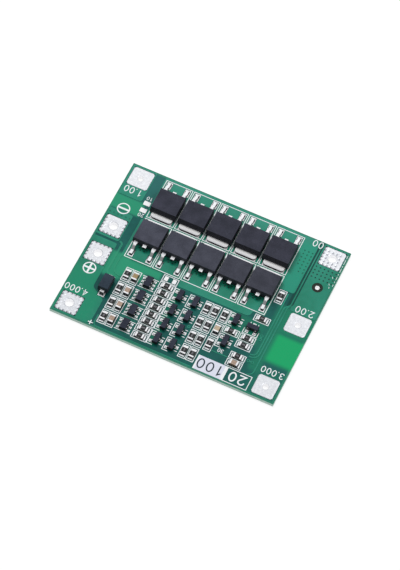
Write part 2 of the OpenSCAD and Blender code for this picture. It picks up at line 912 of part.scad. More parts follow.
// Heat tab with the cut middle lead, in one piece
module fet_tab() {
    half = fet_tab_w / 2;
    front = -fet_l / 2 - fet_tab_out;
    low = fet_part_h - fet_metal_t / 2;
    tip = fet_l / 2 + fet_stub;
    linear_extrude(fet_metal_t)
        polygon(rounded([
            [-half, front, fet_tab_corner], [half, front, fet_tab_corner],
            [half, fet_tab_in, 0], [-half, fet_tab_in, 0]
        ]));
    pulled_x(fet_shoulder_w)
        polygon([
            [fet_tab_in - 0.5, 0], [fet_tab_in, 0], [fet_tab_in + 0.7, low], [tip, low],
            [tip, low + fet_metal_t], [fet_tab_in + 0.5, low + fet_metal_t],
            [fet_tab_in - 0.1, fet_metal_t], [fet_tab_in - 0.5, fet_metal_t]
        ]);
}

module fet_outer_lead() {
    translate([fet_lead_pitch, fet_l / 2, 0]) {
        pulled_x(fet_lead_w)
            polygon(gull_wing(
                fet_part_h, fet_lead_reach, fet_metal_t, [fet_bend, fet_slope, fet_foot], fet_inside
            ));
        translate([-fet_shoulder_w / 2, -fet_inside, fet_part_h - fet_metal_t / 2])
            cube([fet_shoulder_w, fet_inside + fet_shoulder, fet_metal_t]);
    }
}

module fet_metal() {
    fet_tab();
    mirrored_x()
        fet_outer_lead();
}

module mosfet_leadframe(i) {
    color([0.82, 0.83, 0.85])
        on([fet_places[i]], land_z)
            fet_metal();
}

module mosfet_body(i) {
    color([0.2, 0.2, 0.22])
        on([fet_places[i]], land_z)
            difference() {
                moulded(fet_w, fet_l, fet_h, fet_standoff, fet_part_h, fet_draft, fet_tab_draft);
                fet_metal();
            }
}

module sot_lead(body_w) {
    translate([body_w / 2, 0, 0])
        pulled_y(sot_lead_w)
            polygon(gull_wing(sot_exit, sot_reach, sot_lead_t, sot_lead, sot_inside));
}

module sot3_leads() {
    sot_lead(sot3_w);
    for (side = [1, -1])
        translate([0, side * sot_pitch, 0])
            mirror([1, 0, 0])
                sot_lead(sot3_w);
}

module sot6_leads() {
    mirrored_x()
        for (i = [-1 : 1])
            translate([0, i * sot_pitch, 0])
                sot_lead(sot6_w);
}

module sot3_body() {
    color([0.16, 0.16, 0.18])
        difference() {
            moulded(sot3_w, sot_l, sot_h, sot_standoff, sot_exit, sot_draft, sot_draft);
            sot3_leads();
        }
}

module monitor_chip(i) {
    color([0.16, 0.16, 0.18])
        on([monitor_places[i]], land_z)
            difference() {
                moulded(sot6_w, sot_l, sot_h, sot_standoff, sot_exit, sot_draft, sot_draft);
                sot6_leads();
            }
}

module monitor_chip_leads(i) {
    color([0.82, 0.83, 0.85])
        on([monitor_places[i]], land_z)
            sot6_leads();
}

module transistors(places) {
    on(places, land_z)
        sot3_body();
}

module transistor_leads(places) {
    color([0.82, 0.83, 0.85])
        on(places, land_z)
            sot3_leads();
}

// Ceramic chip with a dark film raised on its top face
module resistor() {
    inner_l = chip_l - 2 * chip_wrap_t;
    film_l = chip_l - 2 * chip_wrap - 0.02;
    color([0.17, 0.17, 0.18])
        union() {
            translate([-inner_l / 2, -chip_w / 2, chip_wrap_t])
                cube([inner_l, chip_w, resistor_h - 2 * chip_wrap_t]);
            translate([-film_l / 2, -chip_w / 2 + 0.06, resistor_h - 2 * chip_wrap_t])
                cube([film_l, chip_w - 0.12, 2 * chip_wrap_t + 0.02]);
        }
}

// Metal that wraps the bottom, the end and the top of a resistor
module resistor_ends() {
    color([0.86, 0.87, 0.89])
        mirrored_x()
            pulled_y(chip_w)
                polygon([
                    [chip_l / 2 - chip_wrap, 0], [chip_l / 2, 0], [chip_l / 2, resistor_h],
                    [chip_l / 2 - chip_wrap, resistor_h], [chip_l / 2 - chip_wrap, resistor_h - chip_wrap_t],
                    [chip_l / 2 - chip_wrap_t, resistor_h - chip_wrap_t],
                    [chip_l / 2 - chip_wrap_t, chip_wrap_t], [chip_l / 2 - chip_wrap, chip_wrap_t]
                ]);
}

module capacitor_block() {
    l = chip_l - 2 * chip_wrap_t;
    w = chip_w - 2 * chip_wrap_t;
    translate([-l / 2, -w / 2, chip_wrap_t])
        cube([l, w, capacitor_h - 2 * chip_wrap_t]);
}

module capacitor_ends() {
    color([0.86, 0.87, 0.89])
        mirrored_x()
            difference() {
                translate([chip_l / 2 - chip_wrap, -chip_w / 2, 0])
                    cube([chip_wrap, chip_w, capacitor_h]);
                capacitor_block();
            }
}

module diode_leads() {
    low = diode_lead_t / 2;
    mirrored_x()
        translate([diode_l / 2, 0, 0])
            pulled_y(diode_lead_w)
                track([
                    [-diode_foot / 2, diode_exit, 0], [diode_lead_out, diode_exit, diode_lead_bend],
                    [diode_lead_out, low, diode_lead_bend], [diode_lead_out - diode_foot, low, 0]
                ], diode_lead_t);
}

module input_diode() {
    color([0.2, 0.2, 0.22])
        on([diode_place], land_z)
            difference() {
                moulded(diode_l, diode_w, diode_h, diode_standoff, diode_exit, diode_draft, diode_draft);
                diode_leads();
            }
}

module input_diode_leads() {
    color([0.82, 0.83, 0.85])
        on([diode_place], land_z)
            diode_leads();
}

circuit_board();
copper_layer_top();
copper_layer_bottom();
legend_print();
terminal(tap_0);  // terminal_tap_0
terminal(tap_1);  // terminal_tap_1
terminal(tap_2);  // terminal_tap_2
terminal(tap_3);  // terminal_tap_3
terminal(tap_4);  // terminal_tap_4
terminal(output_minus);  // terminal_output_minus
terminal(output_plus);  // terminal_output_plus
footprint_lands();
solder_fillets();
for (i = [0 : fet_total - 1]) {
    mosfet_body(i);
    mosfet_leadframe(i);
}
for (i = [0 : channel_count - 1]) {
    monitor_chip(i);
    monitor_chip_leads(i);
}
transistors(balance_places);  // balance_transistors
transistor_leads(balance_places);  // balance_transistor_leads
transistors(shift_places);  // shift_transistors
transistor_leads(shift_places);  // shift_transistor_leads
transistors(control_transistor_places);  // control_transistors
transistor_leads(control_transistor_places);  // control_transistor_leads
on(supply_places, land_z) resistor();  // supply_resistors
on(supply_places, land_z) resistor_ends();  // supply_resistor_ends
on(bleed_places, land_z) resistor();  // bleed_resistors
on(bleed_places, land_z) resistor_ends();  // bleed_resistor_ends
on(gate_places, land_z) resistor();  // gate_resistors
on(gate_places, land_z) resistor_ends();  // gate_resistor_ends
on(control_places, land_z) resistor();  // control_resistors
on(control_places, land_z) resistor_ends();  // control_resistor_ends
color([0.72, 0.6, 0.47]) on(capacitor_places, land_z) capacitor_block();  // filter_capacitors
on(capacitor_places, land_z) capacitor_ends();  // filter_capacitor_ends
input_diode();
input_diode_leads();
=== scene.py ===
"""Looks of the battery management board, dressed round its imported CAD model.

The board lies flat: X runs along it, Y away from its front edge and Z up. Places and
lengths on the board are written in millimetres and multiplied by MM on their way to
Blender, which works in metres. Camera, lamps and floor are in metres.
"""

import json
import math

import bmesh
import bpy
from mathutils import Matrix, Vector, noise

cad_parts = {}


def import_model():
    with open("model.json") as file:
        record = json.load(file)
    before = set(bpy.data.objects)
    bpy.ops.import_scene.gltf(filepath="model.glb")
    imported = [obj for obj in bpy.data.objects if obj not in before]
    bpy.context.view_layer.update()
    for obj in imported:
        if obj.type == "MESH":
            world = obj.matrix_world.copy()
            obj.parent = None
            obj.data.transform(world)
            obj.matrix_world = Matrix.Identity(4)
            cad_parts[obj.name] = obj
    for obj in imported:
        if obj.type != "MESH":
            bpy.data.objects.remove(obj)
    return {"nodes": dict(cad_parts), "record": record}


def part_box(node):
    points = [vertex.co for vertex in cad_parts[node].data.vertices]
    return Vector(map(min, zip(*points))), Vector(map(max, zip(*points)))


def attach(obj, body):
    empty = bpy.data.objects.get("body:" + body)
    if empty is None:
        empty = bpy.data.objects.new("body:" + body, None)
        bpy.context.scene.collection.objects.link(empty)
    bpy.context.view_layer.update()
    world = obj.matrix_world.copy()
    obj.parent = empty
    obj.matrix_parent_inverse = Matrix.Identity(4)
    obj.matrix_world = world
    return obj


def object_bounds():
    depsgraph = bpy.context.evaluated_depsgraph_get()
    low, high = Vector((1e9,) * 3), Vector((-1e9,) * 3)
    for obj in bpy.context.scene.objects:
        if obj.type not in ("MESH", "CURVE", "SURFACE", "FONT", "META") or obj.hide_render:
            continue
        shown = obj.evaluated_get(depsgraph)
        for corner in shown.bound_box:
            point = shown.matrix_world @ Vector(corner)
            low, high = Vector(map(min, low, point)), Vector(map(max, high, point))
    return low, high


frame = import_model()
cad_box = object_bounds()
nodes = frame["nodes"]
MM = 0.001

# Camera, as solved from the four corners of the board's top face
IMAGE_W, IMAGE_H = 400, 570
FOCAL_PX = 2960
SENSOR = 36
CAMERA_AZIMUTH, CAMERA_ELEVATION, CAMERA_ROLL = 18.95, 58.0, 6.73
CAMERA_DISTANCE = 0.6813
CAMERA_TARGET = Vector((0.09 * MM, -1.23 * MM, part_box("circuit_board")[1].z))

# Light, as a share of a full white level
AMBIENT = 0.4
FLOOR_GLOW = 0.86

# Heights of the board's faces, in millimetres
TOP_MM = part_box("circuit_board")[1].z / MM
COPPER_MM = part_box("copper_layer_top")[1].z / MM
PLATE_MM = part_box("terminal_tap_0")[1].z / MM
SINK = 0.002  # how far print reaches into the face that carries it

# Terminals, and the boxes of the power transistors' bodies
POWER_TERMINALS = ("tap_0", "tap_4", "output_minus", "output_plus")
SENSE_TERMINALS = ("tap_1", "tap_2", "tap_3")
BODIES = {i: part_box(f"mosfet_body_{i}") for i in range(1, 11)}
BACK_ROW, FRONT_ROW = range(1, 6), range(6, 11)


def srgb(r, g, b):
    """Linear colour of a colour given as 0 to 255 in sRGB."""
    def channel(c):
        c = c / 255
        return c / 12.92 if c <= 0.04045 else ((c + 0.055) / 1.055) ** 2.4
    return (channel(r), channel(g), channel(b), 1.0)


def middle(box):
    """Middle of a box in plan, in millimetres."""
    low, high = box
    return (low.x + high.x) / 2 / MM, (low.y + high.y) / 2 / MM


# Material building blocks

NOISE_SPAN = (0.3, 0.7)  # where one noise has nearly all its values
NOISE_CORE = (0.36, 0.64)  # the same for a mix of noises
SHADED_SIDE = (0.55, 0.84)  # shares of right and front in the direction that looks into shade
UNBAKED_GREY = (0.5, 0.5, 0.5, 1)  # what a material shows where its nodes aren't baked


class Shader:
    """A node material with short calls for what the board's materials share."""

    def __init__(self, name, **constants):
        self.material = bpy.data.materials.new(name)
        self.material.use_nodes = True
        self.tree = self.material.node_tree
        self.surface = self.tree.nodes["Principled BSDF"]
        for socket, value in constants.items():
            self.surface.inputs[socket.replace("_", " ")].default_value = value
        self.material.diffuse_color = UNBAKED_GREY
        coordinates = self.add("ShaderNodeTexCoord").outputs
        self.place, self.normal = coordinates["Object"], coordinates["Normal"]

    def add(self, kind, **settings):
        """A new node with its settings."""
        node = self.tree.nodes.new(kind)
        for key, value in settings.items():
            setattr(node, key, value)
        return node

    def put(self, value, socket):
        """Links an output, or sets a constant, on a socket."""
        if isinstance(value, bpy.types.NodeSocket):
            self.tree.links.new(value, socket)
        else:
            socket.default_value = value

    def set(self, socket, value):
        """Links or sets an input of the surface."""
        self.put(value, self.surface.inputs[socket])

    def noise(self, scale, detail=3.0, roughness=0.55, stretch=None):
        """Noise from 0 to 1; scale is in repeats per millimetre."""
        node = self.add("ShaderNodeTexNoise")
        node.inputs["Scale"].default_value = scale / MM
        node.inputs["Detail"].default_value = detail
        node.inputs["Roughness"].default_value = roughness
        place = self.place
        if stretch is not None:
            mapping = self.add("ShaderNodeMapping")
            mapping.inputs["Scale"].default_value = stretch
            self.put(place, mapping.inputs["Vector"])
            place = mapping.outputs["Vector"]
        self.put(place, node.inputs["Vector"])
        return node.outputs["Fac"]

    def math(self, operation, a, b=0.0):
        """Result of an operation on outputs or constants."""
        node = self.add("ShaderNodeMath", operation=operation)
        self.put(a, node.inputs[0])
        self.put(b, node.inputs[1])
        return node.outputs[0]

    def times(self, a, b):
        return self.math("MULTIPLY", a, b)

    def plus(self, a, b):
        return self.math("ADD", a, b)

    def minus(self, a, b):
        return self.math("SUBTRACT", a, b)

    def band(self, value, low, high, to_low=0.0, to_high=1.0):
        """Value mapped smoothly from low..high to to_low..to_high."""
        node = self.add("ShaderNodeMapRange", interpolation_type="SMOOTHSTEP")
        self.put(value, node.inputs["Value"])
        node.inputs["From Min"].default_value = low
        node.inputs["From Max"].default_value = high
        node.inputs["To Min"].default_value = to_low
        node.inputs["To Max"].default_value = to_high
        return node.outputs["Result"]

    def mix(self, factor, a, b):
        """Colour a where the factor is 0, b where it is 1."""
        node = self.add("ShaderNodeMix", data_type="RGBA")
        self.put(factor, node.inputs["Factor"])
        self.put(a, node.inputs[6])
        self.put(b, node.inputs[7])
        return node.outputs[2]

    def split(self, vector):
        """Outputs X, Y and Z of a vector."""
        node = self.add("ShaderNodeSeparateXYZ")
        self.put(vector, node.inputs[0])
        return node.outputs

    def axis(self, name):
        """Place along an axis of the board, in metres."""
        return self.split(self.place)[name]

    def along(self, name, start, end, to_low=0.0, to_high=1.0):
        """Smooth change from start to end along an axis of the board, in millimetres."""
        return self.band(self.axis(name), start * MM, end * MM, to_low, to_high)

    def upness(self, low, high):
        """0 on upright faces to 1 on level ones, seen from the piece itself."""
        return self.band(self.math("ABSOLUTE", self.split(self.normal)["Z"]), low, high)

    def leaning(self, low, high):
        """0 on level faces to 1 on those that lean to the front right, the board's shaded side."""
        normal = self.split(self.normal)
        right, back = (self.times(normal[name], share) for name, share in zip("XY", SHADED_SIDE))
        return self.band(self.minus(right, back), low, high)

    def facing_up(self):
        """1 on faces that look straight up or down, 0 on upright ones."""
        true_normal = self.add("ShaderNodeNewGeometry").outputs["True Normal"]
        return self.band(self.math("ABSOLUTE", self.split(true_normal)["Z"]), 0.4, 0.6)

    def drift(self, slow, fine):
        """Wide patches with finer ones over them, from 0 to 1."""
        wide = self.times(self.noise(slow, detail=2), 0.75)
        return self.band(self.plus(wide, self.times(self.noise(fine), 0.25)), *NOISE_CORE)

    def bump(self, *layers):
        """Bump from (height, strength, distance in millimetres) layers."""
        below = None
        for height, strength, distance in layers:
            node = self.add("ShaderNodeBump")
            node.inputs["Strength"].default_value = strength
            node.inputs["Distance"].default_value = distance * MM
            self.put(height, node.inputs["Height"])
            if below is not None:
                self.put(below, node.inputs["Normal"])
            below = node.outputs["Normal"]
        self.set("Normal", below)

    def roughen(self, pattern, low, high):
        """Roughness from low to high after a noise."""
        self.set("Roughness", self.band(pattern, *NOISE_SPAN, low, high))

    def in_box(self, low, high, soft=0.25):
        """1 inside an upright box of the plan given in millimetres, fading out at its rim."""
        sides = []
        for name, a, b in zip("XY", low, high):
            rise = self.along(name, a - soft, a + soft)
            fall = self.along(name, b - soft, b + soft, 1.0, 0.0)
            sides.append(self.times(rise, fall))
        return self.times(*sides)

    def in_disc(self, centre, radius, soft=0.04):
        """1 inside an upright round column, given in millimetres."""
        x = self.minus(self.axis("X"), centre[0] * MM)
        y = self.minus(self.axis("Y"), centre[1] * MM)
        away = self.math("SQRT", self.plus(self.times(x, x), self.times(y, y)))
        return self.band(away, (radius - soft) * MM, (radius + soft) * MM, 1.0, 0.0)

    def in_grid(self, centre, radius, soft=0.06):
        """1 round each half millimetre off a centre, in a grid with a pitch of one millimetre."""
        total = 0.0
        for name, start in zip("XY", centre):
            steps = self.times(self.minus(self.axis(name), start * MM), 1 / MM)
            off = self.minus(self.math("FRACT", steps), 0.5)
            total = self.plus(self.times(off, off), total)
        return self.band(self.math("SQRT", total), radius - soft, radius + soft, 1.0, 0.0)


# Materials

WHITE = srgb(255, 255, 255)
MASK_ON_COPPER, MASK_ON_COPPER_PALE = srgb(20, 121, 96), srgb(40, 140, 117)
MASK_ON_LAMINATE, MASK_ON_LAMINATE_PALE = srgb(12, 81, 76), srgb(22, 97, 90)
MASK_ON_EDGE, MASK_ON_EDGE_PALE = srgb(40, 148, 118), srgb(74, 168, 142)
MASK_BACK, MASK_BACK_ON_LAMINATE = srgb(68, 158, 140), srgb(58, 124, 120)
MASK_BORDER = srgb(50, 128, 106)
MASK_CLEAR, MASK_HALF_CLEAR = srgb(22, 166, 104), srgb(42, 150, 114)
MASK_FINE_TRACKS = srgb(26, 124, 96)
MASK_BY_CHIPS = srgb(38, 108, 96)
MASK_CHANNEL = srgb(0, 58, 52)
MASK_RIGHT_POUR_PAINTED_LIGHT, MASK_LEFT_POUR = srgb(34, 150, 124), srgb(14, 140, 104)
MASK_OVER_VIAS_PAINTED_SHADOW = srgb(8, 84, 64)
BARE_LAMINATE, BARE_LAMINATE_PALE = srgb(22, 30, 26), srgb(44, 50, 42)
GLASS, GLASS_PALE, GLASS_UNDER_MASK = srgb(168, 204, 190), srgb(224, 242, 234), srgb(60, 150, 116)
# Painted shade: the steep tone of upright tin, the tin's darkening towards the front, and a painted
# reflection of the dark bodies, with shade, on the lands
PAINTED_STEEP_SHADE, PAINTED_FRONT_SHADE_TIN = srgb(16, 19, 22), srgb(120, 124, 134)
PAINTED_BODY_REFLECTION_AND_SHADE = srgb(58, 80, 78)
DEEP_SHADE, DEEPEST_SHADE = (0.004, 0.004, 0.005, 1), (0.002, 0.002, 0.002, 1)

# Plan places: middles, and boxes from low corner to high corner
TOOLING_HOLE, TAP_0 = (24.625, 10.35), (24.625, 19.125)
INNER_BOARD = (-27.5, -22.05), (27.5, 22.0)
RATING_FIELD = (8, -22.5), (14.4, -17.8)
BACK_ROW_TABS = (-20, 10.2), (20, 11.6)
FRONT_ROW_FEET = (-19, -0.35), (16.6, 1.2)
DIODE = (-20.6, -13.6), (-17.6, -8.9)
OLIVE_CAPACITOR, CREAM_CAPACITOR = ((-15, -8), (-12, -4)), ((7.4, -12), (9.6, -8))
PALE_VIA_FIELDS = ((15.5, 8), (20.6, 19)), ((-29, 7.0), (-21, 8.6))

# Plan boxes where the mask has another tone: low corner, high corner, softness of the
# rim, tone and its share. They are windows that let light through where neither face has
# copper, a dark channel, the board beside the chips, and fine tracks below the print.
TINTS = (
    ((21.1, -12.8), (29, -5.0), 0.9, MASK_CLEAR, 1.0),
    ((-29, 9.2), (-20.6, 13.2), 0.5, MASK_HALF_CLEAR, 0.95),
    ((-18.9, -6.9), (-8.9, -2.2), 0.6, MASK_HALF_CLEAR, 1.0),
    ((18.8, -16.5), (21.6, 2.5), 0.8, MASK_FINE_TRACKS, 0.8),
    ((20.6, -23), (29, -14.6), 0.8, MASK_FINE_TRACKS, 0.35),
    ((20.2, 2.6), (21.8, 22.3), 0.2, MASK_CHANNEL, 0.75),
    ((20.9, -4.6), (29, 2.0), 0.5, MASK_FINE_TRACKS, 1.0),
    ((-12.6, -20.8), (-9.0, -4.2), 0.4, MASK_BY_CHIPS, 0.85),
    ((-4.2, -20.8), (-2.6, -4.2), 0.4, MASK_FINE_TRACKS, 0.7),
    ((-21.9, -8.5), (-17.2, -1.5), 0.6, MASK_HALF_CLEAR, 0.9),
    ((9.6, -10.5), (18.4, -4.0), 0.6, MASK_FINE_TRACKS, 0.6),
)
# The same over the copper of the top face, with painted light on the pour right of the power transistors
# against their shadow, and painted shadow of the front-row bodies over the vias that crowd round each cut
# lead
COPPER_TINTS = [
    ((16.9, 1.5), (20.4, 20.5), 0.8, MASK_RIGHT_POUR_PAINTED_LIGHT, 0.8),
    ((-29, -22), (-18.8, -8.5), 1.2, MASK_LEFT_POUR, 0.7),
    ((-18.9, -6.9), (-8.9, -2.2), 0.6, MASK_HALF_CLEAR, 1.0),
    ((-21.9, -8.5), (-17.2, -1.5), 0.6, MASK_HALF_CLEAR, 0.9),
]
# painted shadow of each front-row body over the darker mask of the vias in front of it
for number in FRONT_ROW:
    body_x, _ = middle(BODIES[number])
    COPPER_TINTS.append(((body_x - 1.3, 0.9), (body_x + 1.0, 2.8), 0.5, MASK_OVER_VIAS_PAINTED_SHADOW, 0.65))


def tinted(shader, colour, tints):
    """A mask colour with the tones of its plan boxes laid over it."""
    for low, high, soft, tint, share in tints:
        colour = shader.mix(shader.times(shader.in_box(low, high, soft), share), colour, tint)
    return colour


def mask_on_copper(name, low, high):
    """Glossy green mask over copper, paler towards the back."""
    shader = Shader(name, Specular_IOR_Level=0.3)
    colour = shader.mix(shader.drift(0.05, 0.6), low, high)
    colour = shader.mix(shader.along("Y", 13, 23, 0.0, 0.36), colour, MASK_BACK)
    shader.set("Base Color", tinted(shader, colour, COPPER_TINTS))
    shader.roughen(shader.noise(0.8), 0.17, 0.25)
    shader.bump((shader.noise(1.2), 0.10, 0.02), (shader.noise(9.0), 0.05, 0.005))
    return shader.material


def laminate():
    """Green mask on the two faces, bare glass laminate on every cut edge."""
    shader = Shader("laminate", Specular_IOR_Level=0.2)
    mask = shader.mix(shader.drift(0.06, 0.7), MASK_ON_LAMINATE, MASK_ON_LAMINATE_PALE)
    mask = shader.mix(shader.along("Y", 10, 20, 0.0, 0.5), mask, MASK_BACK_ON_LAMINATE)
    inner = shader.in_box(*INNER_BOARD, 0.12)
    mask = tinted(shader, shader.mix(inner, MASK_BORDER, mask), TINTS)
    bare = shader.mix(shader.noise(3.0), BARE_LAMINATE, BARE_LAMINATE_PALE)
    mask = shader.mix(shader.in_disc(TOOLING_HOLE, 1.29), mask, bare)

    layers = shader.noise(1.0, detail=2, stretch=(0.25, 0.25, 9.0))
    glass = shader.mix(layers, GLASS, GLASS_PALE)
    edge = shader.mix(shader.along("Z", TOP_MM - 0.12, TOP_MM - 0.05), glass, GLASS_UNDER_MASK)
    plated = shader.in_disc(TOOLING_HOLE, 0.7)
    edge = shader.mix(plated, edge, srgb(250, 250, 250))

    shader.set("Metallic", shader.times(plated, shader.minus(1.0, shader.facing_up())))
    shader.set("Base Color", shader.mix(shader.facing_up(), edge, mask))
    shader.set("Roughness", shader.band(shader.facing_up(), 0, 1, 0.75, 0.22))
    shader.bump((shader.noise(1.5), 0.12, 0.02), (shader.noise(8.0), 0.08, 0.006))
    return shader.material


def white_print():
    """Slightly uneven white, with a bluer tone in the printed rating field."""
    shader = Shader("white_print", Roughness=0.6, Specular_IOR_Level=0.3)
    thin = shader.band(shader.noise(6.0, detail=4), 0.35, 0.6)
    colour = shader.mix(thin, srgb(232, 240, 248), WHITE)
    field = shader.in_box(*RATING_FIELD, 0.1)
    shader.set("Base Color", shader.mix(field, colour, srgb(226, 229, 244)))
    shader.bump((shader.noise(10.0), 0.15, 0.006))
    return shader.material


def dark_print():
    """Figures that are left open in a printed field, so the board shows through."""
    shader = Shader("dark_print", Roughness=0.4, Specular_IOR_Level=0.32)
    shader.set("Base Color", shader.mix(shader.noise(4.0), srgb(18, 34, 44), srgb(32, 54, 64)))
    return shader.material


def figure_print():
    """Pale figures on the black film of the resistors."""
    shader = Shader("figure_print", Roughness=0.6, Specular_IOR_Level=0.3)
    worn = shader.band(shader.noise(9.0, detail=3), 0.35, 0.65)
    shader.set("Base Color", shader.mix(worn, srgb(120, 120, 126), srgb(180, 180, 184)))
    return shader.material


def tin(name, dark, pale, steep=PAINTED_STEEP_SHADE, *, roughness, grain, relief, blotch, slope=(0.5, 0.95),
        metallic=1.0, near=0.04, lean=None, painted_light_box=None, dots=None, body_reflection_box=None):
    """Tin with a slightly uneven skin, from dark to pale. Upright faces look into the shade
    between the parts, so they take the steep tone, a painted shade and painted dark reflection.

    grain is the scale of the blotches, blotch their softness and relief their height;
    slope is where a face turns from steep to level; near is how much painted shade darkens
    the tin towards the front; lean is where faces that lean to the front right turn steep,
    a painted shade; painted_light_box is a plan box that stays pale, painted lighter towards
    the body against its shadow; dots is the middle of a terminal whose vias show as grey
    dimples, with painted shade in them; body_reflection_box is a plan box with a painted
    reflection of the dark bodies beside it, and painted shade.
    """
    shader = Shader(name, Metallic=metallic)
    cloud = shader.noise(grain, detail=4, roughness=0.55)
    level = shader.mix(shader.band(cloud, 0.5 - blotch / 2, 0.5 + blotch / 2), dark, pale)
    # painted shade: the tin darkens towards the front, where less light falls
    level = shader.mix(shader.along("Y", -21, 20, near, 0.0), level, PAINTED_FRONT_SHADE_TIN)
    if painted_light_box:
        # painted light: the tab gets paler towards the body, against the body's shadow on it
        inside = shader.in_box(*painted_light_box, 0.05)
        outwards = shader.mix(shader.along("Y", 10.35, 11.3), srgb(216, 216, 220), WHITE)
        level = shader.mix(inside, level, outwards)
        shader.set("Metallic", shader.times(shader.minus(1.0, inside), metallic))
    if dots:
        reach = 2
        inside = shader.in_box([c - reach for c in dots], [c + reach for c in dots], 0.02)
        # the grey in the dimples is painted shade
        dimples = shader.times(inside, shader.in_grid(dots, 0.15))
        level = shader.mix(dimples, level, srgb(146, 149, 160))
    if body_reflection_box:
        # painted reflection of the dark bodies, and painted shade, on the lands round the front-row feet
        level = shader.mix(shader.times(shader.in_box(*body_reflection_box, 0.3), 0.8), level, PAINTED_BODY_REFLECTION_AND_SHADE)
    if lean:
        # painted shade on faces that lean to the front right
        level = shader.mix(shader.leaning(*lean), level, steep)
    # upright faces take the steep tone, a painted shade
    shader.set("Base Color", shader.mix(shader.upness(*slope), steep, level))
    shader.roughen(shader.noise(grain * 2), roughness - 0.06, roughness + 0.08)
    shader.bump((shader.noise(grain, detail=3), 0.35, relief), (shader.noise(grain * 5), 0.15, relief / 5))
    return shader.material


def moulding(name, dark, pale, roughness, side, front=None):
    """Filled epoxy: a fine matt grain over a very slow drift of tone, with painted shade on its sides.
    front is a second pair of tones, painted lighter, for the parts in front of the line between the rows."""
    shader = Shader(name, Specular_IOR_Level=0.16)
    slow = shader.noise(0.35, detail=2)
    grain = shader.noise(14.0, detail=2)
    speckle = shader.noise(3.5, detail=4, roughness=0.7)
    tone = shader.plus(shader.times(slow, 0.4), shader.times(grain, 0.25))
    tone = shader.plus(tone, shader.times(speckle, 0.35))
    share = shader.band(tone, *NOISE_CORE)
    top = shader.mix(share, dark, pale)
    # painted light makes the front row paler; painted shade deepens on it towards the right
    if front:
        right = shader.along("X", -20, 20, 0.0, 0.28)
        near = shader.mix(right, shader.mix(share, *front), DEEPEST_SHADE)
        top = shader.mix(shader.along("Y", 9.5, 10.3), near, top)
        diode = shader.in_box(*DIODE, 0.1)
        top = shader.mix(diode, top, shader.mix(share, srgb(36, 47, 58), srgb(54, 66, 79)))
    # painted shade on the upright flanks
    flank = shader.mix(1 - side, top, DEEP_SHADE)
    shader.set("Base Color", shader.mix(shader.upness(0.5, 0.95), flank, top))
    shader.roughen(grain, roughness - 0.05, roughness + 0.07)
    shader.bump((shader.noise(12.0, detail=3), 0.35, 0.012), (shader.noise(2.0), 0.1, 0.02))
    return shader.material


def resistor_chip():
    """White ceramic sides, darkened to grey with painted shade, under a black film, told apart by height."""
    shader = Shader("resistor_chip", Specular_IOR_Level=0.4)
    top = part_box("supply_resistors")[1].z / MM
    ceramic = shader.mix(shader.noise(6.0), srgb(120, 120, 116), srgb(160, 160, 154))
    black = shader.mix(shader.noise(3.0), srgb(10, 11, 13), srgb(22, 23, 26))
    shader.set("Base Color", shader.mix(shader.along("Z", top - 0.11, top - 0.09), ceramic, black))
    shader.roughen(shader.noise(5.0), 0.3, 0.44)
    shader.bump((shader.noise(4.0), 0.15, 0.01))
    return shader.material


def capacitor_ceramic():
    """Grey-brown ceramic, with one olive capacitor and one cream one."""
    shader = Shader("capacitor_ceramic", Specular_IOR_Level=0.45)
    cloud = shader.band(shader.noise(2.5, detail=4), *NOISE_SPAN)
    top = shader.mix(cloud, srgb(150, 126, 108), srgb(188, 166, 150))
    olive = shader.mix(shader.noise(2.0), srgb(136, 114, 78), srgb(172, 152, 112))
    cream = shader.mix(shader.noise(2.0), srgb(172, 152, 126), srgb(208, 192, 166))
    top = shader.mix(shader.in_box(*OLIVE_CAPACITOR), top, olive)
    top = shader.mix(shader.in_box(*CREAM_CAPACITOR), top, cream)
    # upright faces take a darker brown, a painted shade
    shader.set("Base Color", shader.mix(shader.upness(0.4, 0.9), srgb(96, 74, 54), top))
    shader.roughen(shader.noise(5.0), 0.35, 0.5)
    shader.bump((shader.noise(5.0, detail=4), 0.2, 0.012))
    return shader.material


def dark_well():
    """The mouth of a via: dark and slightly wet-looking, paler in two fields of the pour."""
    shader = Shader("dark_well", Roughness=0.35, Specular_IOR_Level=0.3)
    colour = shader.mix(shader.noise(5.0), srgb(10, 44, 42), srgb(22, 66, 60))
    for field in PALE_VIA_FIELDS:
        colour = shader.mix(shader.times(shader.in_box(*field), 0.6), colour, srgb(30, 128, 100))
    shader.set("Base Color", colour)
    return shader.material


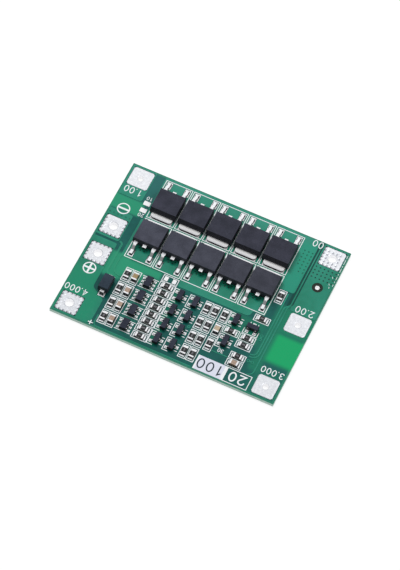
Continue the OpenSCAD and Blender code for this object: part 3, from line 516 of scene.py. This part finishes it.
LEAD_TONES = srgb(240, 242, 246), srgb(252, 253, 255)
MATERIALS = {
    "laminate": laminate(),
    "masked_copper": mask_on_copper("masked_copper", MASK_ON_COPPER, MASK_ON_COPPER_PALE),
    "white_print": white_print(),
    "tinned_land": tin(
        "tinned_land", srgb(238, 240, 244), WHITE, roughness=0.4, grain=1.2, relief=0.004, blotch=0.7,
        metallic=0.35, body_reflection_box=FRONT_ROW_FEET),
    "tinned_terminal": tin(
        "tinned_terminal", srgb(218, 220, 226), srgb(234, 236, 241), srgb(244, 244, 246),
        roughness=0.3, grain=1.4, relief=0.0015, blotch=0.8, slope=(0.1, 0.3), near=0.16),
    "solder": tin(
        "solder", srgb(212, 215, 220), srgb(250, 251, 253), srgb(36, 40, 43), roughness=0.26, grain=1.6,
        relief=0.006, blotch=0.6, slope=(0.2, 0.6), metallic=0.8, lean=(0.1, 0.6)),
    "lead_metal": tin(
        "lead_metal", *LEAD_TONES, roughness=0.42, grain=0.6, relief=0.002, blotch=0.8, slope=(0.1, 0.5),
        metallic=0.25, lean=(0.15, 0.75), painted_light_box=BACK_ROW_TABS),
    "chip_metal": tin(
        "chip_metal", srgb(234, 236, 240), srgb(254, 254, 255), roughness=0.34, grain=1.4, relief=0.004,
        blotch=0.7, slope=(0.3, 0.8), metallic=0.4, lean=(0.3, 0.8)),
    "power_moulding": moulding(
        "power_moulding", srgb(41, 43, 53), srgb(61, 62, 75), 0.55, side=0.4,
        front=(srgb(57, 59, 70), srgb(79, 81, 94))),
    "small_moulding": moulding("small_moulding", srgb(37, 40, 52), srgb(55, 59, 73), 0.5, side=0.15),
    "resistor_chip": resistor_chip(),
    "capacitor_ceramic": capacitor_ceramic(),
}
# its grey steep tone is painted shade on the rims and dimples of the coat
TIN_COAT = tin(
    "tin_coat", srgb(222, 224, 230), srgb(246, 248, 252), srgb(120, 124, 136), roughness=0.3, grain=1.8,
    relief=0.004, blotch=0.6, slope=(0.86, 0.99), near=0.16, dots=TAP_0)
SMALL_LEAD = tin(
    "small_lead", *LEAD_TONES, roughness=0.4, grain=0.6, relief=0.002, blotch=0.8, slope=(0.55, 0.95),
    metallic=0.25, lean=(0.15, 0.6))
SHADED_SOLDER = tin(
    "shaded_solder", srgb(190, 194, 200), srgb(240, 242, 246), srgb(38, 42, 48), roughness=0.26, grain=1.6,
    relief=0.006, blotch=0.6, slope=(0.8, 0.98))
DARK_PRINT = dark_print()
FIGURE_PRINT = figure_print()
DARK_WELL = dark_well()
MASK_RIM = mask_on_copper("mask_rim", MASK_ON_EDGE, MASK_ON_EDGE_PALE)


# Finish of the CAD nodes: shared corners, then a small round on every sharp edge

WELD = 0.0005
FLAT_ANGLE, SHARP_ANGLE = math.radians(0.6), math.radians(32)
EDGE_ROUND = {
    "power_moulding": 0.10, "small_moulding": 0.06, "lead_metal": 0.05, "chip_metal": 0.05,
    "resistor_chip": 0.03, "capacitor_ceramic": 0.04, "laminate": 0.03, "masked_copper": 0.05,
    "tinned_terminal": 0.03, "tinned_land": 0.02,
}


def clean_mesh_nodes():
    """Modifier tree that drops the stored normals and joins the split corners."""
    tree = bpy.data.node_groups.new("clean_mesh", "GeometryNodeTree")
    tree.interface.new_socket("Geometry", in_out="INPUT", socket_type="NodeSocketGeometry")
    tree.interface.new_socket("Geometry", in_out="OUTPUT", socket_type="NodeSocketGeometry")
    start = tree.nodes.new("NodeGroupInput")
    plain = tree.nodes.new("GeometryNodeRemoveAttribute")
    plain.inputs["Name"].default_value = "custom_normal"
    merge = tree.nodes.new("GeometryNodeMergeByDistance")
    merge.inputs["Distance"].default_value = WELD * MM
    end = tree.nodes.new("NodeGroupOutput")
    for a, b in ((start, plain), (plain, merge), (merge, end)):
        tree.links.new(a.outputs["Geometry"], b.inputs["Geometry"])
    return tree


CLEAN_MESH = clean_mesh_nodes()


def finish_node(name, slot):
    """Gives a CAD node its material and rounds its edges. Leads of small parts have their own tin."""
    piece = nodes[name]
    small = slot == "lead_metal" and ("transistor" in name or "chip" in name)
    piece.data.materials.clear()
    piece.data.materials.append(SMALL_LEAD if small else MATERIALS[slot])
    piece.modifiers.new("clean", "NODES").node_group = CLEAN_MESH
    if slot not in EDGE_ROUND:
        return
    flat = piece.modifiers.new("flat", "DECIMATE")
    flat.decimate_type = "DISSOLVE"
    flat.angle_limit = FLAT_ANGLE
    bevel = piece.modifiers.new("edge_round", "BEVEL")
    bevel.width = EDGE_ROUND[slot] * MM
    bevel.segments = 2
    bevel.limit_method = "ANGLE"
    bevel.angle_limit = SHARP_ANGLE
    bevel.harden_normals = True
    bevel.use_clamp_overlap = True
    if slot == "masked_copper":
        piece.data.materials.append(MASK_RIM)
        bevel.material = 1


for part in frame["record"]["subparts"]:
    finish_node(part["node"], part["material_slot"])


# Added pieces

def into_scene(name, data):
    """A new object in the scene."""
    piece = bpy.data.objects.new(name, data)
    bpy.context.scene.collection.objects.link(piece)
    return piece


def add_piece(name, mesh, slot, material=None):
    """Puts a bmesh on the board as a piece of its own."""
    data = bpy.data.meshes.new(name)
    mesh.to_mesh(data)
    mesh.free()
    data.materials.append(material or MATERIALS[slot])
    piece = into_scene(name, data)
    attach(piece, "root")


def face_outwards(mesh):
    """Turns the faces of closed or dished forms to their outer side."""
    bmesh.ops.recalc_face_normals(mesh, faces=mesh.faces)


def islands(name):
    """Lowest and highest corners of each separate solid in a CAD node, in millimetres."""
    mesh = nodes[name].data
    parent = {}

    def root(key):
        while parent[key] != key:
            parent[key] = parent[parent[key]]
            key = parent[key]
        return key

    keys = [tuple(round(c / MM, 3) for c in vertex.co) for vertex in mesh.vertices]
    for key in keys:
        parent.setdefault(key, key)
    for polygon in mesh.polygons:
        first = root(keys[polygon.vertices[0]])
        for index in polygon.vertices[1:]:
            parent[root(keys[index])] = first
    groups = {}
    for key in parent:
        groups.setdefault(root(key), []).append(key)
    boxes = []
    for points in groups.values():
        low = Vector(min(p[i] for p in points) for i in range(3))
        high = Vector(max(p[i] for p in points) for i in range(3))
        boxes.append((low, high))
    return sorted(boxes, key=lambda box: (round(box[0].x, 2), round(box[0].y, 2)))


# Plain figures, drawn as strokes. A figure is 0.6 wide and 1 high.

def bow(cx, cy, rx, ry, start, end, count):
    """Points along part of an ellipse, from one angle to another."""
    angles = (math.radians(start + (end - start) * k / count) for k in range(count + 1))
    return [(cx + rx * math.cos(a), cy + ry * math.sin(a)) for a in angles]


FIGURES = {
    "0": [bow(0.3, 0.5, 0.26, 0.47, 90, 450, 28)],
    "1": [[(0.14, 0.76), (0.34, 0.97), (0.34, 0.03)]],
    "2": [bow(0.3, 0.71, 0.25, 0.26, 170, -40, 14) + [(0.05, 0.03), (0.57, 0.03)]],
    "3": [bow(0.29, 0.74, 0.23, 0.23, 155, -90, 12), bow(0.29, 0.27, 0.26, 0.24, 90, -155, 14)],
    "4": [[(0.42, 0.03), (0.42, 0.97), (0.03, 0.31), (0.58, 0.31)]],
    ".": [[(0.08, 0.05), (0.12, 0.05)]],
}
FIGURE_STEP, POINT_STEP, FIGURE_GAP = 0.82, 0.32, 0.22
BOARD_TURN = 180  # the board's print is read from the back edge
CAP_STEPS = 6  # steps of half a turn round the end of a stroke
MITRE_LIMIT = 0.45


def ribbon(points, half):
    """Left and right borders of a line that is 2 * half wide, with its corners mitred."""
    left, right = [], []
    closed = math.dist(points[0], points[-1]) < 1e-6
    count = len(points)
    for i, point in enumerate(points):
        here = Vector(point)
        before = points[i - 1] if i else (points[-2] if closed else None)
        after = points[i + 1] if i < count - 1 else (points[1] if closed else None)
        a = (here - Vector(before)).normalized() if before else None
        b = (Vector(after) - here).normalized() if after else None
        a, b = a or b, b or a
        normal = Vector((-a.y - b.y, a.x + b.x)).normalized()
        reach = half / max(MITRE_LIMIT, normal.dot(Vector((-a.y, a.x))))
        left.append(here + normal * reach)
        right.append(here - normal * reach)
    return left, right


def stroke_mesh(mesh, points, half, base, height):
    """Adds one raised stroke with round ends to a bmesh; everything in millimetres."""
    left, right = ribbon(points, half)
    cap_start, cap_end = [], []
    if math.dist(points[0], points[-1]) >= 1e-6:
        for end, inner, cap in ((0, 1, cap_start), (-1, -2, cap_end)):
            centre = Vector(points[end])
            out = (centre - Vector(points[inner])).normalized()
            side = Vector((-out.y, out.x))
            for k in range(1, CAP_STEPS):
                turn = math.pi * k / CAP_STEPS
                cap.append(centre + (side * math.cos(turn) + out * math.sin(turn)) * half)

    levels = []
    for z in (base, height):
        levels.append([[mesh.verts.new((p.x * MM, p.y * MM, z * MM)) for p in outline]
                       for outline in (left, right, cap_start, cap_end)])
    (low_l, low_r, low_start, low_end), (top_l, top_r, top_start, top_end) = levels
    for i in range(len(points) - 1):
        mesh.faces.new((top_l[i], top_r[i], top_r[i + 1], top_l[i + 1]))
        mesh.faces.new((top_l[i], top_l[i + 1], low_l[i + 1], low_l[i]))
        mesh.faces.new((top_r[i + 1], top_r[i], low_r[i], low_r[i + 1]))
    if not top_start:
        return
    for ring_top, ring_low in (
        ([top_r[0], *top_start, top_l[0]], [low_r[0], *low_start, low_l[0]]),
        ([top_l[-1], *top_end, top_r[-1]], [low_l[-1], *low_end, low_r[-1]]),
    ):
        mesh.faces.new(ring_top)
        for i in range(len(ring_top) - 1):
            mesh.faces.new((ring_low[i], ring_low[i + 1], ring_top[i + 1], ring_top[i]))


def figures_into(mesh, text, centre, height, half, base, turn, thickness=0.02, squeeze=1.0):
    """Adds a row of plain figures, centred on a point and turned by an angle in degrees.
    Neighbouring strokes differ by a hair in height, so none of their faces coincide."""
    steps = [POINT_STEP if figure == "." else FIGURE_STEP for figure in text]
    width = (sum(steps) - FIGURE_GAP) * height * squeeze
    c, s = math.cos(math.radians(turn)), math.sin(math.radians(turn))
    x = -width / 2
    count = 0
    for figure, step in zip(text, steps):
        for line in FIGURES[figure]:
            points = []
            for px, py in line:
                u, v = x + px * height * squeeze, (py - 0.5) * height
                points.append((centre[0] + u * c - v * s, centre[1] + u * s + v * c))
            stroke_mesh(mesh, points, half, base, base + thickness + 0.002 * (count % 3))
            count += 1
        x += step * height * squeeze


def figure_piece(name, rows, slot="white_print", material=None):
    """One piece of printed figures; rows hold the arguments of figures_into."""
    mesh = bmesh.new()
    for row in rows:
        figures_into(mesh, *row)
    face_outwards(mesh)
    add_piece(name, mesh, slot, material)


def board_figures():
    """Plain numbers beside the terminals, in the two rating fields and by three small parts."""
    on_copper, on_board = COPPER_MM - SINK, TOP_MM - SINK
    for terminal, text, centre, height, base in (
        ("tap_1", "1.00", (-24.75, 15.25), 1.72, on_copper),
        ("tap_0", "00", (20.1, 21.3), 1.75, on_copper),
        ("tap_2", "2.00", (24.65, 2.95), 1.72, on_copper),
        ("tap_3", "3.000", (24.55, -15.05), 1.62, on_board),
        ("tap_4", "4.000", (-24.85, -15.1), 1.62, on_copper),
    ):
        half = 0.105
        figure_piece(f"figures_{terminal}", [(text, centre, height, half, base, BOARD_TURN)])
    white = ("20", (18.0, -20.1), 2.45, 0.17, on_board, BOARD_TURN, 0.03, 1.15)
    dark = ("100", (11.25, -20.1), 2.55, 0.165, on_board + 0.025, BOARD_TURN, 0.012, 1.1)
    figure_piece("figures_rating_white", [white])
    figure_piece("figures_rating_dark", [dark], material=DARK_PRINT)
    figure_piece("figures_small", [
        (text, centre, 0.95, 0.07, on_board, BOARD_TURN)
        for text, centre in (("10", (-20.3, 14.95)), ("20", (-20.3, 9.95)), ("30", (11.6, -15.1)))
    ])


def resistor_figures():
    """Three pale figures on the film of each resistor."""
    values = ("100", "000", "200", "100", "030", "100", "000", "300")
    height, half, thickness, squeeze = 0.36, 0.026, 0.008, 0.8
    for group in ("supply", "bleed", "gate", "control"):
        rows = []
        for i, (low, high) in enumerate(islands(f"{group}_resistors")):
            centre = ((low.x + high.x) / 2, (low.y + high.y) / 2)
            turn = BOARD_TURN if high.x - low.x > high.y - low.y else BOARD_TURN - 90
            text = values[i % len(values)]
            rows.append((text, centre, height, half, high.z - SINK, turn, thickness, squeeze))
        figure_piece(f"figures_{group}_resistors", rows, "resistor_chip", FIGURE_PRINT)


def stroke_piece(name, strokes, half, height):
    """One piece of straight printed strokes, from the board's face up to a height."""
    mesh = bmesh.new()
    for ends in strokes:
        stroke_mesh(mesh, ends, half, TOP_MM - SINK, height)
    face_outwards(mesh)
    add_piece(name, mesh, "white_print")


def edge_ticks():
    """Short printed strokes and a worn line beside the back right terminal."""
    line_x = 27.6
    strokes = [((26.62, 14.6), (26.82, 14.2)), ((26.62, 12.5), (26.8, 12.15)), ((26.95, 11.7), (27.1, 11.3))]
    for y, length in ((12.2, 0.5), (13.3, 0.35), (14.2, 0.9), (15.6, 0.3), (16.5, 1.1), (18.0, 0.4),
                      (18.8, 1.4), (20.6, 0.8)):
        strokes.append(((line_x, y), (line_x, y + length)))
    stroke_piece("edge_ticks", strokes, half=0.055, height=COPPER_MM + 0.015)


def row_rules():
    """The print line beside each power transistor whose neighbour stands to its right."""
    off_middle, beyond = -0.16, 0.5
    strokes = []
    for row in (BACK_ROW, FRONT_ROW):
        for i in row[:-1]:
            (low, high), (neighbour, _) = BODIES[i], BODIES[i + 1]
            x = (high.x + neighbour.x) / 2 / MM + off_middle
            strokes.append(((x, low.y / MM - beyond), (x, high.y / MM + beyond)))
    stroke_piece("row_rules", strokes, half=0.14, height=COPPER_MM + 0.035)


board_figures()
edge_ticks()
row_rules()
resistor_figures()


# Uneven tin on the terminals

POWER_HOLE_R, SENSE_HOLE_R = 1.05, 0.75
PAD_HALF, PAD_CHAMFER, PAD_MARGIN = 2.625, 0.4, 0.012
VIA_R = 0.2
VIA_STEPS = [i - 2.5 for i in range(6)]
VIA_INNER = 2  # vias further out than this notch the rim
VIA_DIP, DEEP_VIA_DIP = 0.05, 0.22
COAT_CELLS = 84
COAT_FOOT = -0.03  # how deep the coat dives into the plate at its border
HOLE_LIP = 0.05  # the coat rises from this far outside the hole; its grid reaches as far in
NOTCH_LIP = 0.03  # the coat rises from this far outside a notch


def middle_of(name):
    """Middle of a terminal in plan, in millimetres."""
    return middle(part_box(f"terminal_{name}"))


def bell(offset, width):
    """1 at no offset, falling off to both sides."""
    return math.exp(-(offset / width) ** 2)


def on_rim(via):
    """Whether a via of a terminal's grid is one of its outer row."""
    return max(abs(via[0]), abs(via[1])) > VIA_INNER


def terminal_vias(name, hole):
    """Vias of a power terminal: those that notch its rim and those that dimple its face."""
    vias = [(x, y) for x in VIA_STEPS for y in VIA_STEPS if math.hypot(x, y) > hole + 0.3]
    notches = [via for via in vias if on_rim(via)]
    if name == "tap_0":
        notches = [v for v in notches if v[0] < -VIA_INNER or v[1] < -VIA_INNER]
    elif name == "output_minus":
        notches = [v for v in notches if v[1] < VIA_INNER]
    return notches, [via for via in vias if not on_rim(via)]


def tin_coat(name, index):
    """Solder skin on a terminal: piled up between the notches of its rim, sunk over the other vias."""
    cx, cy = middle_of(name)
    power = name in POWER_TERMINALS
    hole = POWER_HOLE_R if power else SENSE_HOLE_R
    notches, dimples = terminal_vias(name, hole) if power else ([], [])
    dip = DEEP_VIA_DIP if name == "tap_0" else VIA_DIP
    chamfer = 2 * PAD_HALF - PAD_CHAMFER
    step = 2 * PAD_HALF / COAT_CELLS

    def height(x, y):
        border = min(PAD_HALF - abs(x), PAD_HALF - abs(y), (chamfer - abs(x) - abs(y)) / math.sqrt(2))
        inside = min(border, math.hypot(x, y) - hole - HOLE_LIP)
        if notches:
            inside = min(inside, min(math.hypot(x - vx, y - vy) for vx, vy in notches) - VIA_R - NOTCH_LIP)
        if inside <= 0:
            return COAT_FOOT
        spot = Vector((x + index * 9.1, y - index * 4.7, 0.3))
        if not power:
            skin = 0.035 * (1 - math.exp(-inside / 0.12))
            return skin + 0.006 * noise.noise(spot * 0.9) + 0.012 * bell(border - 0.3, 0.25)
        # Skin, a bead along the rim and a lower one round the hole, then the uneven flow
        z = 0.05 * (1 - math.exp(-inside / 0.10))
        z += 0.045 * bell(inside - 0.26, 0.22) * (1 if border < 0.9 else 0.4)
        z += 0.024 * noise.noise(spot * 1.3) + 0.02 * noise.noise(spot * 3.1)
        for vx, vy in dimples:
            z -= dip * bell(math.hypot(x - vx, y - vy), 0.19)
        return max(z, COAT_FOOT)

    mesh = bmesh.new()
    grid = {}
    for i in range(COAT_CELLS + 1):
        for j in range(COAT_CELLS + 1):
            x, y = -PAD_HALF + i * step, -PAD_HALF + j * step
            away = math.hypot(x, y)
            z = height(x, y)
            if away < hole - HOLE_LIP:
                continue
            if away < hole + 0.06:  # drawn on to the wall of the hole
                x, y = x / away * (hole + 0.01), y / away * (hole + 0.01)
            x = max(min(x, PAD_HALF - PAD_MARGIN), PAD_MARGIN - PAD_HALF)
            y = max(min(y, PAD_HALF - PAD_MARGIN), PAD_MARGIN - PAD_HALF)
            over = abs(x) + abs(y) - chamfer + 0.02
            if over > 0:
                x -= math.copysign(over / 2, x)
                y -= math.copysign(over / 2, y)
            grid[i, j] = mesh.verts.new(((cx + x) * MM, (cy + y) * MM, (PLATE_MM + z) * MM))
    for i in range(COAT_CELLS):
        for j in range(COAT_CELLS):
            x, y = -PAD_HALF + (i + 0.5) * step, -PAD_HALF + (j + 0.5) * step
            corners = [grid.get(key) for key in ((i, j), (i + 1, j), (i + 1, j + 1), (i, j + 1))]
            if all(corners) and all(math.hypot(x - vx, y - vy) > VIA_R - 0.05 for vx, vy in notches):
                mesh.faces.new(corners).smooth = True
    add_piece(f"tin_coat_{name}", mesh, "tinned_terminal", TIN_COAT)


# Vias in the mask

def via_places():
    """Middles of the vias that open through the mask of the top face."""
    # Rows in front of the back right terminal, and one row behind the back output terminal
    x0, y0 = middle_of("tap_0")
    xm, ym = middle_of("output_minus")
    places = [(x0 + x, y0 - 2.5 - row) for x in VIA_STEPS for row in (1, 2, 3, 4)]
    places += [(xm + x, ym + 3.5) for x in VIA_STEPS]
    # The pour between the back right terminal and the power transistors
    edge = x0 - PAD_HALF - 0.3
    for row in range(7):
        places += [(edge - 1.75 - k, y0 - 6.75 + row) for k in range(2 if row < 2 else 3)]
    # Round the cut lead of each power transistor in the front row
    for i in FRONT_ROW:
        x, y = middle(BODIES[i])
        places += [(x - 1.25 + k, y - 3.5) for k in range(3)] + [(x - 0.75 + k, y - 4.1) for k in range(2)]
    # The notches of the power terminals, a little outside their grids
    outwards = 1.012
    rim = [(x * outwards, y * outwards) for x in VIA_STEPS for y in VIA_STEPS if on_rim((x, y))]
    for name in POWER_TERMINALS:
        cx, cy = middle_of(name)
        places += [(cx + x, cy + y) for x, y in rim]
    return places


def via_mouths():
    """Mask sunk into the vias: a shallow dish in each opening."""
    mesh = bmesh.new()
    sides = 12
    ring_sizes = (VIA_R * 0.97, 0.03), (VIA_R * 0.6, 0.012)  # radius, and height above the laminate
    for x, y in via_places():
        rings = []
        for radius, z in ring_sizes:
            turns = (2 * math.pi * k / sides for k in range(sides))
            rings.append([mesh.verts.new(((x + radius * math.cos(a)) * MM, (y + radius * math.sin(a)) * MM,
                                          (TOP_MM + z) * MM)) for a in turns])
        outer, inner = rings
        bottom = mesh.verts.new((x * MM, y * MM, (TOP_MM + 0.004) * MM))
        for k in range(sides):
            n = (k + 1) % sides
            mesh.faces.new((outer[k], outer[n], inner[n], inner[k])).smooth = True
            mesh.faces.new((inner[k], inner[n], bottom)).smooth = True
    face_outwards(mesh)
    add_piece("via_mouths", mesh, "laminate", DARK_WELL)


# Solder round the feet of the power transistors

def meniscus(mesh, x, toe, way, base):
    """Concave solder round three sides of a foot; way is +1 or -1, the side of y its toe points to."""
    half, length, corner = 0.34, 0.9, 0.08
    side_width, side_height, corner_height = 0.27, 0.34, 0.36
    toe_width, toe_height = 0.42, 0.4
    path = []  # x, y, direction outwards, width and height of the solder along one half
    for k in range(5):
        share = min(1, 0.15 + k / 2.5)
        path.append((-half, -length * (1 - k / 4) - corner, (-1, 0), side_width * share, side_height * share))
    for k in range(1, 4):
        turn = math.pi / 2 * k / 4
        path.append((-half + corner * (1 - math.cos(turn)), -corner * (1 - math.sin(turn)),
                     (-math.cos(turn), math.sin(turn)), side_width + 0.04 * k, corner_height))
    path.append((-half + corner, 0, (0, 1), toe_width, toe_height))
    path += [(-px, py, (-nx, ny), w, h) for px, py, (nx, ny), w, h in reversed(path)]
    steps = 6
    hollow, into_foot, into_land = 2.2, 0.03, 0.01
    rows = []
    for px, py, (nx, ny), w, h in path:
        row = []
        for k in range(steps + 1):
            t = k / steps
            out = w * t - into_foot * (k == 0)
            z = base + h * (1 - t) ** hollow - into_land * (k == steps)
            row.append(mesh.verts.new(((x + px + nx * out) * MM, (toe + way * (py + ny * out)) * MM, z * MM)))
        rows.append(row)
    for a, b in zip(rows, rows[1:]):
        for k in range(steps):
            mesh.faces.new((a[k], a[k + 1], b[k + 1], b[k])).smooth = True


def solder_menisci():
    """Solder drawn up round the outer feet of the power transistors, a piece for each row."""
    widest_foot = 1.5  # the heat tabs are wider
    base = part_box("footprint_lands")[1].z / MM
    for name, row, way, material in (("front", FRONT_ROW, -1, None), ("back", BACK_ROW, 1, SHADED_SOLDER)):
        mesh = bmesh.new()
        for i in row:
            for low, high in islands(f"mosfet_leadframe_{i}"):
                if high.x - low.x < widest_foot:
                    meniscus(mesh, (low.x + high.x) / 2, low.y if way < 0 else high.y, way, base)
        mesh.normal_update()
        for face in mesh.faces:
            if face.normal.z < 0:
                face.normal_flip()
        add_piece(f"solder_menisci_{name}", mesh, "solder", material)


solder_menisci()
via_mouths()
for order, terminal in enumerate(POWER_TERMINALS + SENSE_TERMINALS):
    tin_coat(terminal, order)


# Stage: a plain pale floor, soft light and the camera

def seen_white(tree):
    """Output that is 1 for camera and glossy rays and 0 for the rays that light the board."""
    rays = tree.nodes.new("ShaderNodeLightPath")
    either = tree.nodes.new("ShaderNodeMath")
    either.operation = "MAXIMUM"
    tree.links.new(rays.outputs["Is Camera Ray"], either.inputs[0])
    tree.links.new(rays.outputs["Is Glossy Ray"], either.inputs[1])
    return either.outputs[0]


def floor():
    """White to the camera, with a soft shadow left on it."""
    half, gap = 1.5, 0.02 * MM
    z = cad_box[0].z - gap
    mesh = bpy.data.meshes.new("floor")
    mesh.from_pydata([(-half, -half, z), (half, -half, z), (half, half, z), (-half, half, z)], [],
                     [(0, 1, 2, 3)])
    material = bpy.data.materials.new("floor_white")
    material.use_nodes = True
    tree = material.node_tree
    tree.nodes.clear()
    output = tree.nodes.new("ShaderNodeOutputMaterial")
    diffuse = tree.nodes.new("ShaderNodeBsdfDiffuse")
    diffuse.inputs["Color"].default_value = (0.9, 0.9, 0.9, 1)
    veil = tree.nodes.new("ShaderNodeBsdfDiffuse")
    veil.inputs["Color"].default_value = (0.2, 0.2, 0.21, 1)
    glow = tree.nodes.new("ShaderNodeEmission")
    glow.inputs["Strength"].default_value = FLOOR_GLOW
    shown = tree.nodes.new("ShaderNodeAddShader")
    mix = tree.nodes.new("ShaderNodeMixShader")
    link = tree.links.new
    link(veil.outputs[0], shown.inputs[0])
    link(glow.outputs[0], shown.inputs[1])
    link(seen_white(tree), mix.inputs[0])
    link(diffuse.outputs[0], mix.inputs[1])
    link(shown.outputs[0], mix.inputs[2])
    link(mix.outputs[0], output.inputs["Surface"])
    mesh.materials.append(material)
    piece = into_scene("floor", mesh)


def world():
    """Even white light all round, shown to the camera and to glossy faces as plain white."""
    studio = bpy.data.worlds.new("studio")
    bpy.context.scene.world = studio
    studio.use_nodes = True
    tree = studio.node_tree
    background = tree.nodes["Background"]
    background.inputs["Color"].default_value = (1, 1, 1, 1)
    strength = tree.nodes.new("ShaderNodeMapRange")
    strength.inputs["To Min"].default_value = AMBIENT
    strength.inputs["To Max"].default_value = 1.0
    tree.links.new(seen_white(tree), strength.inputs["Value"])
    tree.links.new(strength.outputs["Result"], background.inputs["Strength"])


def direction(azimuth, elevation):
    """Unit vector towards a compass angle: azimuth 0 is the front, 90 the right side."""
    a, e = math.radians(azimuth), math.radians(elevation)
    return Vector((math.sin(a) * math.cos(e), -math.cos(a) * math.cos(e), math.sin(e)))


def softbox(name, azimuth, elevation, distance, size, irradiance, glossy=True):
    """Square area lamp that gives about that irradiance, as a share of a full white level.
    Without glossy it leaves no glare of its own on shiny faces, which show the white studio."""
    lamp = bpy.data.lights.new(name, "AREA")
    lamp.shape = "SQUARE"
    lamp.size = size
    lamp.energy = irradiance * math.pi * math.pi * distance ** 2
    towards = direction(azimuth, elevation)
    piece = into_scene(name, lamp)
    piece.location = towards * distance
    piece.rotation_mode = "QUATERNION"
    piece.rotation_quaternion = towards.to_track_quat("Z", "Y")
    piece.visible_glossy = glossy


def camera():
    """The photograph's own view, from the front right and above."""
    lens = bpy.data.cameras.new("camera")
    lens.sensor_width = SENSOR
    lens.lens = FOCAL_PX * SENSOR / max(IMAGE_W, IMAGE_H)
    lens.clip_start, lens.clip_end = 0.01, 20
    back = direction(CAMERA_AZIMUTH, CAMERA_ELEVATION)
    level = Vector((0, 0, 1)).cross(back).normalized()
    upright = back.cross(level)
    roll = math.radians(CAMERA_ROLL)
    right = level * math.cos(roll) + upright * math.sin(roll)
    up = back.cross(right)
    turn = Matrix((right, up, back)).transposed().to_4x4()
    piece = into_scene("camera", lens)
    piece.matrix_world = Matrix.Translation(CAMERA_TARGET + back * CAMERA_DISTANCE) @ turn
    bpy.context.scene.camera = piece


floor()
world()
softbox("key", azimuth=232, elevation=60, distance=0.7, size=0.25, irradiance=0.46, glossy=False)
softbox("fill", azimuth=110, elevation=60, distance=0.7, size=0.35, irradiance=0.2)
camera()
bpy.context.scene.view_settings.view_transform = "Standard"
